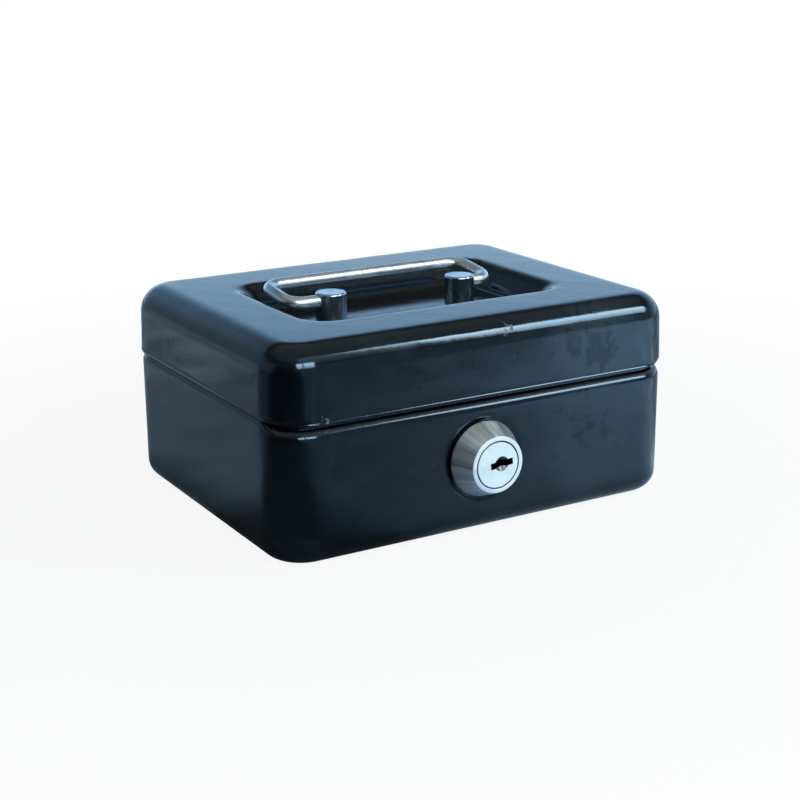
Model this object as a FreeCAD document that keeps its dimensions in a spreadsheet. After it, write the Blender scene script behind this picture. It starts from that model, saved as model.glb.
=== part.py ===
import FreeCAD, Part
import math
import os
import re

import Sketcher
from FreeCAD import Vector

# Small steel cash box with a sunk wire carrying handle and a front cam lock.
# Millimetres and degrees. The origin is the middle of the flat underside,
# +Z is up, the lock faces -Y and the hinges are on the +Y side.

DRIVING_SIZES = (
    ("box_length", 152.0, "lid, left to right at its lower edge"),
    ("box_depth", 119.2, "lid, front to back at its lower edge"),
    ("box_height", 70.2, "underside of the base to the top of the lid"),
    ("base_height", 45.2, "top of the base's rolled shoulder"),
    ("seam_gap", 0.4, "open joint between shoulder and closed lid"),
    ("lid_overhang", 0.35, "how far the lid stands proud of the base"),
    ("sheet_gauge", 1.0, "steel sheet of base and lid"),
    ("corner_radius", 14.5, "upright corners of the lid"),
    ("bottom_radius", 6.9, "rounded lower edge of the base"),
    ("shoulder_radius", 3.0, "rolled shoulder below the seam"),
    ("neck_step", 0.2, "flat between shoulder and neck"),
    ("neck_height", 5.0, "neck standing up inside the lid"),
    ("lid_draft", 1.86, "lean of the lid's walls, degrees"),
    ("lid_top_radius", 8.8, "rounded upper edge of the lid"),
    ("lid_edge_radius", 2.2, "curl along the lid's lower edge"),
    ("lip_width", 2.6, "turned-in lip under the lid's edge"),
    ("fit_gap", 0.05, "clearance between pieces that seat on each other"),
    ("run_gap", 0.06, "radial clearance of a turning fit"),
    ("well_length", 97.0, "handle well at the lid's top face, along X"),
    ("well_width", 61.0, "handle well at the lid's top face, along Y"),
    ("well_corner", 10.0, "corners of the well's rim in plan"),
    ("well_drop", 8.0, "depth of the well"),
    ("well_slope", 36.9, "lean of the well's sides from upright, degrees"),
    ("well_rim_radius", 5.5, "rounding over the rim of the well"),
    ("well_foot_radius", 3.0, "rounding at the foot of the well's sides"),
    ("post_spacing", 51.4, "handle posts, centre to centre"),
    ("post_diameter", 10.6, "handle post"),
    ("post_height", 9.4, "handle post above the well's floor"),
    ("post_edge", 0.7, "rounded top edge of a post"),
    ("shank_diameter", 5.0, "post shank through the lid"),
    ("peen_diameter", 8.0, "peened end of the shank"),
    ("peen_height", 1.2, "peened end of the shank"),
    ("post_washer_diameter", 12.0, "washer under the lid"),
    ("post_washer_gauge", 1.0, "washer under the lid"),
    ("wire_diameter", 4.5, "handle wire"),
    ("handle_span", 79.0, "between the handle's arms, wire centres"),
    ("handle_reach", 20.7, "pivot line to the grip, wire centres"),
    ("handle_bend", 6.0, "bends of the handle wire, wire centre"),
    ("handle_tilt", 7.1, "lift of the resting handle, degrees"),
    ("pivot_drop", 2.8, "pivot line below the tops of the posts"),
    ("wire_seat", 2.0, "wire end past the post's centre"),
    ("wire_end_gap", 1.8, "post hole past the wire's end"),
    ("handle_shift", -1.3, "resting handle slid along its pivot line"),
    ("lock_offset", -2.4, "lock axis from the middle of the front"),
    ("lock_height", 25.1, "lock axis above the underside"),
    ("lock_base_diameter", 25.2, "conical lock head at the wall"),
    ("lock_face_diameter", 18.8, "conical lock head at its face"),
    ("lock_head", 8.2, "how far the lock stands out of the wall"),
    ("lock_land", 0.4, "upright rim at the foot of the lock head"),
    ("barrel_diameter", 16.0, "lock barrel through the wall"),
    ("barrel_length", 8.5, "lock barrel behind the wall's outer face"),
    ("plug_face_diameter", 15.3, "turning face of the lock"),
    ("plug_flange", 2.0, "thickness of that face"),
    ("face_groove", 0.3, "open ring round the turning face"),
    ("plug_diameter", 13.0, "plug inside the barrel"),
    ("keyway_length", 8.2, "key slot"),
    ("keyway_width", 2.1, "key slot"),
    ("keyway_offset", 1.45, "middle of the key slot to the right of the lock axis"),
    ("keyway_turn", 5.5, "right end of the key slot turned up, degrees"),
    ("keyway_depth", 12.0, "key slot"),
    ("dimple_diameter", 5.2, "round countersink over the key slot"),
    ("dimple_depth", 2.3, "round countersink over the key slot"),
    ("wafer_gauge", 1.1, "tumbler plate"),
    ("wafer_pitch", 2.4, "tumbler plates, centre to centre"),
    ("wafer_start", 3.9, "first tumbler plate behind the lock's face"),
    ("wafer_height", 6.8, "tumbler plate across its short side"),
    ("wafer_play", 0.2, "gap beside a tumbler plate"),
    ("tail_width", 5.0, "square tail of the plug"),
    ("lock_washer_diameter", 22.0, "washer behind the front wall"),
    ("lock_washer_gauge", 0.8, "washer behind the front wall"),
    ("nut_flats", 20.0, "lock nut across flats"),
    ("nut_height", 3.5, "lock nut"),
    ("cam_gap", 0.2, "cam behind the barrel's end"),
    ("cam_gauge", 1.6, "cam plate"),
    ("cam_width", 9.0, "cam plate"),
    ("cam_reach", 21.0, "lock axis to the tip of the cam"),
    ("cam_washer_diameter", 8.5, "washer under the cam screw"),
    ("cam_washer_gauge", 0.8, "washer under the cam screw"),
    ("screw_diameter", 3.0, "cam screw"),
    ("screw_length", 6.0, "cam screw under its head"),
    ("screw_head_diameter", 6.4, "cam screw"),
    ("screw_head_height", 2.0, "cam screw"),
    ("screw_slot", 1.0, "driver slot of the cam screw"),
    ("catch_offset", 16.5, "catch to the right of the lock axis"),
    ("catch_width", 7.0, "strap of the catch"),
    ("catch_gauge", 1.2, "steel strip of the catch"),
    ("catch_flange_width", 16.0, "welded flange of the catch"),
    ("catch_flange_gap", 1.2, "that flange below the lid's rounded upper edge"),
    ("catch_clear", 0.8, "strap of the catch behind the cam"),
    ("ledge_overlap", 0.4, "ledge of the catch past the cam's front"),
    ("latch_gap", 0.4, "ledge of the catch below the locked cam"),
    ("neck_clear", 2.0, "catch above the neck"),
    ("hinge_corner_gap", 4.5, "hinge from the start of the rounded corner"),
    ("hinge_length", 30.0, "hinge along its pin"),
    ("hinge_inset", 1.25, "pin inside the base's rear face"),
    ("hinge_clear", 0.6, "play round the knuckles"),
    ("knuckle_diameter", 3.8, "hinge barrel"),
    ("knuckle_gap", 0.3, "between neighbouring knuckles"),
    ("pin_diameter", 2.2, "hinge pin"),
    ("leaf_gauge", 0.8, "hinge leaf"),
    ("leaf_height", 12.0, "hinge leaf on the base"),
    ("lid_leaf_gap", 1.7, "hinge leaf on the lid below the lid's rounded upper edge"),
    ("leaf_root", 0.4, "hinge leaf from the barrel's surface"),
    ("rivet_diameter", 3.0, "hinge rivet"),
    ("rivet_spacing", 18.0, "rivets of one leaf"),
    ("rivet_head_diameter", 5.4, "domed rivet head"),
    ("rivet_head_height", 1.2, "domed rivet head"),
    ("upset_diameter", 4.9, "upset end of a rivet"),
    ("upset_height", 0.9, "upset end of a rivet"),
    ("tray_height", 26.0, "coin tray"),
    ("tray_proud", 1.8, "tray rim above the base's shoulder"),
    ("tray_gap", 2.5, "tray behind the catch"),
    ("tray_side_gap", 0.8, "tray inside the neck"),
    ("tray_wall", 1.8, "walls and floor of the tray"),
    ("front_bay_depth", 32.0, "long front bay, front to back"),
    ("coin_bays", 4, "coin bays behind it"),
    ("bay_corner", 6.0, "upright corners of a bay"),
    ("bay_floor_radius", 5.0, "rounded floor of a bay"),
    ("finger_radius", 9.0, "finger notch in the tray's ends"),
    ("rail_length", 60.0, "tray rail"),
    ("rail_gauge", 1.0, "tray rail"),
    ("rail_leg", 9.0, "welded leg of a tray rail"),
    ("rail_shelf", 10.0, "shelf of a tray rail"),
)

doc = FreeCAD.newDocument("cash_box")
sheet = doc.addObject("Spreadsheet::Sheet", "Dims")
for row, (alias, size, note) in enumerate(DRIVING_SIZES, 1):
    sheet.set(f"A{row}", alias)
    sheet.set(f"B{row}", str(size))
    sheet.set(f"C{row}", note)
    sheet.setAlias(f"B{row}", alias)
doc.recompute()

ALIASES = {alias for alias, size, note in DRIVING_SIZES}


def formula(text):
    """The same formula with every size written as its cell of the sheet."""
    return re.sub(r"[a-z_]+", lambda word: f"Dims.{word[0]}" if word[0] in ALIASES else word[0], text)


def value(text):
    """The number that a formula gives now."""
    return float(sheet.evalExpression(formula(text)))


def bind(thing, **formulas):
    """Tie properties of an object to formulas."""
    for name, text in formulas.items():
        thing.setExpression(name, formula(text))


def place(thing, x="0", y="0", z="0", turn_x="0"):
    """Put an object's own origin at x, y, z, turned about X by turn_x degrees."""
    thing.setExpression("Placement.Base.x", formula(x))
    thing.setExpression("Placement.Base.y", formula(y))
    thing.setExpression("Placement.Base.z", formula(z))
    if turn_x != "0":
        thing.Placement.Rotation = FreeCAD.Rotation(Vector(1, 0, 0), value(turn_x))
        thing.setExpression("Placement.Rotation.Angle", formula(turn_x))
    return thing


def box(name, x, y, z, turn_x="0"):
    """Box between two bounds along each axis, turned about its first corner."""
    block = doc.addObject("Part::Box", name)
    bind(block, Length=f"{x[1]} - ({x[0]})", Width=f"{y[1]} - ({y[0]})", Height=f"{z[1]} - ({z[0]})")
    return place(block, x[0], y[0], z[0], turn_x)


def rod(name, diameter, low, high, x="0", y="0"):
    """Upright cylinder from height low to height high."""
    cylinder = doc.addObject("Part::Cylinder", name)
    bind(cylinder, Radius=f"({diameter})/2", Height=f"{high} - ({low})")
    return place(cylinder, x, y, low)


def cross_rod(name, diameter, left, right, y, z):
    """Cylinder along X between two places."""
    cylinder = doc.addObject("Part::Cylinder", name)
    bind(cylinder, Radius=f"({diameter})/2", Height=f"{right} - ({left})")
    cylinder.Placement.Rotation = FreeCAD.Rotation(Vector(0, 1, 0), 90)
    return place(cylinder, left, y, z)


def fuse(name, *things):
    joined = doc.addObject("Part::MultiFuse", name)
    joined.Shapes = list(things)
    return joined


def cut(name, blank, *tools):
    """Blank less its tools."""
    result = doc.addObject("Part::Cut", name)
    result.Base = blank
    result.Tool = tools[0] if len(tools) == 1 else fuse(f"{name}_tools", *tools)
    return result


def group(name, *things):
    """Separate solids that share a node."""
    compound = doc.addObject("Part::Compound", name)
    compound.Links = list(things)
    return compound


def origin_plane(body, role):
    return next(plane for plane in body.Origin.OriginFeatures if plane.Role == role)


def new_sketch(body, name, role, offset="0"):
    """Sketch on an origin plane of its body, shifted along the plane's normal."""
    sketch = body.newObject("Sketcher::SketchObject", name)
    sketch.AttachmentSupport = [(origin_plane(body, role), "")]
    sketch.MapMode = "FlatFace"
    sketch.setExpression("AttachmentOffset.Base.z", formula(offset))
    return sketch


def dimension(sketch, name, constraint, text):
    """Named dimension of a sketch, tied to a formula."""
    sketch.renameConstraint(sketch.addConstraint(constraint), name)
    sketch.setExpression(f"Constraints.{name}", formula(text))


def line(x0, y0, x1, y1):
    return Part.LineSegment(Vector(x0, y0, 0), Vector(x1, y1, 0))


def arc(x, y, radius, start, end):
    """Arc about x, y, counterclockwise from start to end in degrees."""
    circle = Part.Circle(Vector(x, y, 0), Vector(0, 0, 1), radius)
    return Part.ArcOfCircle(circle, math.radians(start), math.radians(end))


def rounded_rectangle(sketch, length, depth, radius):
    """Rectangle about the sketch's origin with four equal round corners."""
    x = value(length) / 2
    y = value(depth) / 2
    r = value(radius)
    sketch.addGeometry([
        line(r - x, -y, x - r, -y),
        arc(x - r, r - y, r, 270, 360),
        line(x, r - y, x, y - r),
        arc(x - r, y - r, r, 0, 90),
        line(x - r, y, r - x, y),
        arc(r - x, y - r, r, 90, 180),
        line(-x, y - r, -x, r - y),
        arc(r - x, r - y, r, 180, 270),
    ])
    for edge in range(8):
        sketch.addConstraint(Sketcher.Constraint("Tangent", edge, 2, (edge + 1) % 8, 1))
    for edge in (0, 4):
        sketch.addConstraint(Sketcher.Constraint("Horizontal", edge))
    for edge in (2, 6):
        sketch.addConstraint(Sketcher.Constraint("Vertical", edge))
    for edge in (3, 5, 7):
        sketch.addConstraint(Sketcher.Constraint("Equal", 1, edge))
    sketch.addConstraint(Sketcher.Constraint("Symmetric", 7, 3, 3, 3, -1, 1))
    dimension(sketch, "length", Sketcher.Constraint("DistanceX", 6, 1, 2, 1, 2 * x), length)
    dimension(sketch, "depth", Sketcher.Constraint("DistanceY", 0, 1, 4, 1, 2 * y), depth)
    dimension(sketch, "corner", Sketcher.Constraint("Radius", 1, r), radius)


def level_edges(shape, z, keep=lambda bounds: True):
    """Numbers of the edges that lie in the plane at height z."""
    flat = 1e-4
    return [
        number for number, edge in enumerate(shape.Edges, 1)
        if abs(edge.BoundBox.ZMin - z) < flat and abs(edge.BoundBox.ZMax - z) < flat and keep(edge.BoundBox)
    ]


def round_level(body, name, z, radius):
    """Round the edges of a body that lie at height z."""
    doc.recompute()
    feature = body.Tip
    fillet = body.newObject("PartDesign::Fillet", name)
    fillet.Base = (feature, [f"Edge{number}" for number in level_edges(feature.Shape, value(z))])
    bind(fillet, Radius=radius)


def rounded_block(name, length, depth, radius, low, high, draft="0", foot=None, crown=None):
    """Block with round upright corners, leaning in by draft degrees as it rises.

    foot and crown are the radii of its lower and upper edges.
    """
    body = doc.addObject("PartDesign::Body", name)
    sketch = new_sketch(body, f"{name}_outline", "XY_Plane", low)
    rounded_rectangle(sketch, length, depth, radius)
    pad = body.newObject("PartDesign::Pad", f"{name}_pad")
    pad.Profile = sketch
    bind(pad, Length=f"{high} - ({low})", TaperAngle=f"-({draft})")
    if foot:
        round_level(body, f"{name}_foot", low, foot)
    if crown:
        round_level(body, f"{name}_crown", high, crown)
    return body


BASE_LENGTH = "(box_length - 2*lid_overhang)"
BASE_DEPTH = "(box_depth - 2*lid_overhang)"
BASE_CORNER = "(corner_radius - lid_overhang)"
FRONT_Y = "(lid_overhang - box_depth/2)"
REAR_Y = "(box_depth/2 - lid_overhang)"
NECK_INSET = "(shoulder_radius + neck_step)"
MOUTH_INSET = f"({NECK_INSET} + sheet_gauge)"
NECK_TOP = "(base_height + neck_height)"
LID_Z = "(base_height + seam_gap)"
LEAN = "tan(lid_draft*1deg)"
WELL_FLOOR = "(box_height - well_drop)"
HINGE_Y = f"({REAR_Y} - hinge_inset)"
HINGE_Z = "(base_height + seam_gap/2)"
LEAF_CLEAR = "(knuckle_diameter/2 + leaf_root)"
KNUCKLE = "((hinge_length - 2*knuckle_gap)/3)"
HINGE_X = "(box_length/2 - corner_radius - hinge_corner_gap - hinge_length/2)"
HINGES = (("left", f"(-{HINGE_X})"), ("right", HINGE_X))
LID_WALL_TOP = "(box_height - lid_top_radius)"
OUTSIDE = "(2*box_depth)"

# Lock. Its pieces are drawn upright about the key axis, with height 0 on the
# outer face of the front wall, and then laid down with their tops to the front.
CAM_FRONT = "(barrel_length + cam_gap)"
CAM_BACK = f"({CAM_FRONT} + cam_gauge)"
CAM_FRONT_Y = f"({FRONT_Y} + {CAM_FRONT})"
CAM_BACK_Y = f"({FRONT_Y} + {CAM_BACK})"
WALL_BACK = "(sheet_gauge + fit_gap)"
NUT_FRONT = f"({WALL_BACK} + lock_washer_gauge)"
FACE_BACK = "(lock_head - plug_flange)"


def in_lock(thing):
    """Lay a lock piece down on the key axis."""
    return place(thing, "lock_offset", FRONT_Y, "lock_height", "90")


def lock_ring(name, outer, inner, low, high):
    return cut(name, rod(f"{name}_disc", outer, low, high),
               rod(f"{name}_bore", inner, f"{low} - fit_gap", f"{high} + fit_gap"))


head_cone = doc.addObject("Part::Cone", "lock_head_cone")
bind(head_cone, Radius1="lock_base_diameter/2", Radius2="lock_face_diameter/2",
     Height="lock_head - lock_land")
place(head_cone, z="lock_land")
lock_body = fuse("lock_body", head_cone,
                 rod("lock_foot", "lock_base_diameter", "fit_gap", "lock_land"),
                 rod("lock_barrel", "barrel_diameter", "-barrel_length", "lock_land"))
lock_housing = in_lock(cut(
    "lock_housing", lock_body,
    rod("plug_bore", "plug_diameter + 2*run_gap", "-2*barrel_length", "lock_head"),
    rod("face_bore", "plug_face_diameter + 2*face_groove", f"{FACE_BACK} - fit_gap", "2*lock_head")))

lock_washer = in_lock(lock_ring("lock_washer", "lock_washer_diameter", "barrel_diameter + 2*fit_gap",
                                f"-{NUT_FRONT}", f"-{WALL_BACK}"))

nut_blank = doc.addObject("Part::Prism", "nut_blank")
nut_blank.Polygon = 6
bind(nut_blank, Circumradius="nut_flats/2/cos(30deg)", Height="nut_height")
place(nut_blank, z=f"-{NUT_FRONT} - fit_gap - nut_height")
lock_nut = in_lock(cut("lock_nut", nut_blank,
                       rod("nut_bore", "barrel_diameter + 2*fit_gap", "-2*barrel_length", "0")))


def centred_box(name, width, height, low, high, middle="0"):
    """Upright block on the lock axis, or with its middle to the right of it."""
    return box(name, (f"{middle} - ({width})/2", f"{middle} + ({width})/2"),
               (f"-({height})/2", f"({height})/2"), (low, high))


def key_turned(thing):
    """Turn a piece about the lock axis to where the key was drawn out."""
    thing.Placement.Rotation = FreeCAD.Rotation(Vector(0, 0, 1), value("keyway_turn"))
    thing.setExpression("Placement.Rotation.Angle", formula("keyway_turn"))
    return thing


WAFER_NUMBERS = range(4)


def wafer_level(number):
    """Middle of a tumbler plate, counted back from the face."""
    return f"(lock_head - wafer_start - {number}*wafer_pitch)"


wafers = []
wafer_slots = []
for number in WAFER_NUMBERS:
    low = f"{wafer_level(number)} - wafer_gauge/2"
    high = f"{wafer_level(number)} + wafer_gauge/2"
    wafer_slots.append(centred_box(f"wafer_slot_{number}", "2*plug_diameter", "wafer_height + wafer_play",
                                   f"{low} - wafer_play/2", f"{high} + wafer_play/2"))
    plate = doc.addObject("Part::Common", f"wafer_plate_{number}")
    plate.Base = centred_box(f"wafer_blank_{number}", "2*plug_diameter", "wafer_height", low, high)
    plate.Tool = rod(f"wafer_round_{number}", "plug_diameter - wafer_play", low, high)
    wafers.append(cut(f"wafer_{number}", plate,
                      centred_box(f"wafer_window_{number}", "keyway_length + 2*wafer_play",
                                  "keyway_width + 2*wafer_play", f"{low} - fit_gap", f"{high} + fit_gap",
                                  "keyway_offset")))
wafer_tumblers = in_lock(group("wafer_tumblers", key_turned(group("wafer_set", *wafers))))

dimple = doc.addObject("Part::Cone", "key_dimple")
bind(dimple, Radius1="0", Radius2="dimple_diameter", Height="2*dimple_depth")
place(dimple, "keyway_offset", z="lock_head - dimple_depth")
plug_blank = fuse("plug_blank",
                  rod("plug_face", "plug_face_diameter", FACE_BACK, "lock_head"),
                  rod("plug_barrel", "plug_diameter", "-barrel_length", f"{FACE_BACK} + fit_gap"),
                  centred_box("plug_tail", "tail_width", "tail_width",
                              f"fit_gap - {CAM_BACK}", "fit_gap - barrel_length"))
key_slot = centred_box("key_slot", "keyway_length", "keyway_width", "lock_head - keyway_depth",
                       "2*lock_head", "keyway_offset")
lock_plug = in_lock(cut(
    "lock_plug", plug_blank, key_turned(fuse("keyway", dimple, key_slot, *wafer_slots)),
    rod("screw_bore", "screw_diameter + 2*fit_gap",
        f"-{CAM_BACK} - screw_length", f"screw_length - {CAM_BACK}")))

# Cam: a flat lever on the plug's square tail. It points up while unlocked and
# turns clockwise, seen from the front, to lie over the ledge of the catch.
cam_blank = doc.addObject("PartDesign::Body", "cam_blank")
cam_outline = new_sketch(cam_blank, "cam_outline", "XY_Plane", f"-{CAM_BACK}")
cam_half = value("cam_width/2")
cam_far = value("cam_reach - cam_width/2")
cam_outline.addGeometry([
    line(cam_half, 0, cam_half, cam_far),
    arc(0, cam_far, cam_half, 0, 180),
    line(-cam_half, cam_far, -cam_half, 0),
    arc(0, 0, cam_half, 180, 360),
])
for edge in range(4):
    cam_outline.addConstraint(Sketcher.Constraint("Tangent", edge, 2, (edge + 1) % 4, 1))
cam_outline.addConstraint(Sketcher.Constraint("Vertical", 0))
cam_outline.addConstraint(Sketcher.Constraint("Coincident", 3, 3, -1, 1))
dimension(cam_outline, "half_width", Sketcher.Constraint("Radius", 3, cam_half), "cam_width/2")
dimension(cam_outline, "arm", Sketcher.Constraint("DistanceY", 3, 3, 1, 3, cam_far),
          "cam_reach - cam_width/2")
cam_pad = cam_blank.newObject("PartDesign::Pad", "cam_pad")
cam_pad.Profile = cam_outline
bind(cam_pad, Length="cam_gauge")
lock_cam = in_lock(cut("lock_cam", cam_blank,
                       centred_box("cam_square", "tail_width + 2*fit_gap", "tail_width + 2*fit_gap",
                                   f"-2*{CAM_BACK}", "0")))

SCREW_SEAT = f"({CAM_BACK} + fit_gap + cam_washer_gauge)"
cam_washer = in_lock(lock_ring("cam_washer", "cam_washer_diameter", "screw_diameter + 2*fit_gap",
                               f"-{SCREW_SEAT}", f"-{CAM_BACK} - fit_gap"))
screw_blank = fuse("screw_blank",
                   rod("screw_shank", "screw_diameter",
                       f"-{SCREW_SEAT} - fit_gap", f"screw_length - {SCREW_SEAT}"),
                   rod("screw_head", "screw_head_diameter", f"-{SCREW_SEAT} - fit_gap - screw_head_height",
                       f"-{SCREW_SEAT} - fit_gap"))
cam_screw = in_lock(cut("cam_screw", screw_blank,
                        centred_box("driver_slot", "2*screw_head_diameter", "screw_slot",
                                    f"-{SCREW_SEAT} - 2*screw_head_height",
                                    f"-{SCREW_SEAT} - screw_head_height/2")))

# Hinges. Each has two base knuckles outside one lid knuckle, on a loose pin.
LEAF_BACK = f"({REAR_Y} - sheet_gauge - fit_gap)"
LID_LEAF_Z = f"({HINGE_Z} + {LEAF_CLEAR})"
LID_LEAF_HEIGHT = f"({LID_WALL_TOP} - lid_leaf_gap - {LID_LEAF_Z})"
LID_LEAF_Y = (f"(box_depth/2 - sheet_gauge - ({LID_LEAF_Z} - {LID_Z})*{LEAN}"
              " - (leaf_gauge + fit_gap)/cos(lid_draft*1deg))")
LEAF_TIP = "(pin_diameter/2 + leaf_root)"
PIN_BORE = "pin_diameter + 2*run_gap"
RIVET_BORE = "rivet_diameter + 2*fit_gap"
BASE_RIVET_Z = f"({HINGE_Z} - {LEAF_CLEAR} - leaf_height/2)"
LID_RIVET_Z = f"({LID_LEAF_Z} + {LID_LEAF_HEIGHT}/2)"
LID_RIVET_Y = f"(box_depth/2 - ({LID_RIVET_Z} - {LID_Z})*{LEAN})"
GRIP = "(sheet_gauge + leaf_gauge + 2*fit_gap)"
DOME = "((rivet_head_diameter^2/4 + rivet_head_height^2)/(2*rivet_head_height))"


def on_rear_wall(thing, x, lid):
    """Turn an upright piece so that its top points out of the rear wall."""
    if lid:
        return place(thing, x, LID_RIVET_Y, LID_RIVET_Z, "lid_draft - 90")
    return place(thing, x, REAR_Y, BASE_RIVET_Z, "-90")


def rivet(name, x, lid):
    """Dome-headed rivet through the rear wall and a hinge leaf, upset inside."""
    dome = doc.addObject("Part::Sphere", f"{name}_dome")
    bind(dome, Radius=DOME, Angle1=f"asin(({DOME} - rivet_head_height)/{DOME})")
    place(dome, z=f"rivet_head_height + fit_gap - {DOME}")
    return on_rear_wall(fuse(
        name, dome,
        rod(f"{name}_shank", "rivet_diameter", f"-{GRIP} - 2*fit_gap", "2*fit_gap"),
        rod(f"{name}_upset", "upset_diameter",
            f"-{GRIP} - fit_gap - upset_height", f"-{GRIP} - fit_gap")), x, lid)


def rivet_bore(name, x, lid):
    return on_rear_wall(group(name, rod(f"{name}_drill", RIVET_BORE, f"-2*{GRIP}", GRIP)), x, lid)


base_notches = []
lid_notches = []
base_rivets = []
lid_rivets = []
base_bores = []
lid_bores = []
base_leaves = {}
lid_leaves = {}
hinge_pins = {}
for side, middle in HINGES:
    left = f"({middle} - hinge_length/2)"
    right = f"({middle} + hinge_length/2)"
    lid_left = f"({middle} - {KNUCKLE}/2)"
    lid_right = f"({middle} + {KNUCKLE}/2)"
    notch_x = (f"{left} - hinge_clear", f"{right} + hinge_clear")
    neck_y = (f"{REAR_Y} - {MOUTH_INSET} - hinge_clear", OUTSIDE)
    base_notches.append(box(f"base_notch_{side}", notch_x, neck_y,
                            ("base_height - shoulder_radius", "2*box_height")))
    lid_notches.append(box(f"lid_notch_{side}", notch_x, neck_y, ("base_height", LID_LEAF_Z)))

    side_base_bores = []
    side_lid_bores = []
    for number, step in enumerate(("-", "+")):
        rivet_x = f"{middle} {step} rivet_spacing/2"
        base_rivets.append(rivet(f"base_rivet_{side}_{number}", rivet_x, lid=False))
        lid_rivets.append(rivet(f"lid_rivet_{side}_{number}", rivet_x, lid=True))
        side_base_bores.append(rivet_bore(f"base_rivet_bore_{side}_{number}", rivet_x, lid=False))
        side_lid_bores.append(rivet_bore(f"lid_rivet_bore_{side}_{number}", rivet_x, lid=True))
    base_bores += side_base_bores
    lid_bores += side_lid_bores

    leaf_y = (f"{LEAF_BACK} - leaf_gauge", LEAF_BACK)
    knuckle_ends = ((left, f"({left} + {KNUCKLE})"), (f"({right} - {KNUCKLE})", right))
    base_pieces = [box(f"base_plate_{side}", (left, right), leaf_y,
                       (f"{HINGE_Z} - {LEAF_CLEAR} - leaf_height", f"{HINGE_Z} - {LEAF_CLEAR}"))]
    for number, ends in enumerate(knuckle_ends):
        base_pieces.append(box(f"base_tab_{side}_{number}", ends, leaf_y,
                               (f"{HINGE_Z} - {LEAF_CLEAR} - leaf_root", f"{HINGE_Z} - {LEAF_TIP}")))
        base_pieces.append(cross_rod(f"base_knuckle_{side}_{number}", "knuckle_diameter",
                                     *ends, HINGE_Y, HINGE_Z))
    base_leaves[side] = cut(f"hinge_leaf_base_{side}", fuse(f"base_leaf_blank_{side}", *base_pieces),
                            cross_rod(f"base_pin_bore_{side}", PIN_BORE, left, right, HINGE_Y, HINGE_Z),
                            *side_base_bores)

    lid_plate = box(f"lid_plate_{side}", (left, right), (LID_LEAF_Y, f"({LID_LEAF_Y} + leaf_gauge)"),
                    (LID_LEAF_Z, f"({LID_LEAF_Z} + {LID_LEAF_HEIGHT})"), "lid_draft")
    lid_tab = box(f"lid_tab_{side}", (lid_left, lid_right), (LID_LEAF_Y, f"{LID_LEAF_Y} + leaf_gauge"),
                  (f"{HINGE_Z} + {LEAF_TIP}", f"{LID_LEAF_Z} + leaf_root"))
    lid_knuckle = cross_rod(f"lid_knuckle_{side}", "knuckle_diameter", lid_left, lid_right, HINGE_Y, HINGE_Z)
    lid_leaves[side] = cut(f"hinge_leaf_lid_{side}",
                           fuse(f"lid_leaf_blank_{side}", lid_plate, lid_tab, lid_knuckle),
                           cross_rod(f"lid_pin_bore_{side}", PIN_BORE, left, right, HINGE_Y, HINGE_Z),
                           *side_lid_bores)
    hinge_pins[side] = cross_rod(f"hinge_pin_{side}", "pin_diameter", left, right, HINGE_Y, HINGE_Z)

base_hinge_rivets = group("base_hinge_rivets", *base_rivets)
lid_hinge_rivets = group("lid_hinge_rivets", *lid_rivets)

# Base: pressed from sheet, with a rolled shoulder and a neck inside the lid.
base_outer = rounded_block("base_outer", BASE_LENGTH, BASE_DEPTH, BASE_CORNER, "0", "base_height",
                           foot="bottom_radius", crown="shoulder_radius")
base_neck = rounded_block("base_neck", f"{BASE_LENGTH} - 2*{NECK_INSET}", f"{BASE_DEPTH} - 2*{NECK_INSET}",
                          f"{BASE_CORNER} - {NECK_INSET}", "base_height - sheet_gauge", NECK_TOP)
base_hollow = rounded_block("base_hollow", f"{BASE_LENGTH} - 2*sheet_gauge", f"{BASE_DEPTH} - 2*sheet_gauge",
                            f"{BASE_CORNER} - sheet_gauge", "sheet_gauge", "base_height - sheet_gauge",
                            foot="bottom_radius - sheet_gauge", crown="shoulder_radius - sheet_gauge")
base_mouth = rounded_block("base_mouth", f"{BASE_LENGTH} - 2*{MOUTH_INSET}",
                           f"{BASE_DEPTH} - 2*{MOUTH_INSET}", f"{BASE_CORNER} - {MOUTH_INSET}",
                           "base_height - 2*sheet_gauge",
                           f"{NECK_TOP} + sheet_gauge")
lock_hole = in_lock(group("lock_hole", rod("lock_drill", "barrel_diameter + 2*fit_gap",
                                           f"-2*{WALL_BACK}", WALL_BACK)))
base_shell = cut("base_shell", fuse("base_blank", base_outer, base_neck),
                 base_hollow, base_mouth, lock_hole, *base_notches, *base_bores)

# Lid: a drafted pan with a turned-in lip, and a sunk well for the handle.
WELL_SKIN = "(2*sheet_gauge/cos(well_slope*1deg))"


def well_block(name, growth, drop, foot):
    """Tapering well, wider than its rim by growth and drop deep, drawn downwards."""
    body = doc.addObject("PartDesign::Body", name)
    sketch = new_sketch(body, f"{name}_outline", "XY_Plane", "box_height")
    rounded_rectangle(sketch, f"well_length + {growth}", f"well_width + {growth}",
                      f"well_corner + {growth}/2")
    pad = body.newObject("PartDesign::Pad", f"{name}_pad")
    pad.Profile = sketch
    pad.Reversed = True
    bind(pad, Length=drop, TaperAngle="-well_slope")
    round_level(body, f"{name}_foot", f"box_height - ({drop})", foot)
    return body


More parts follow.
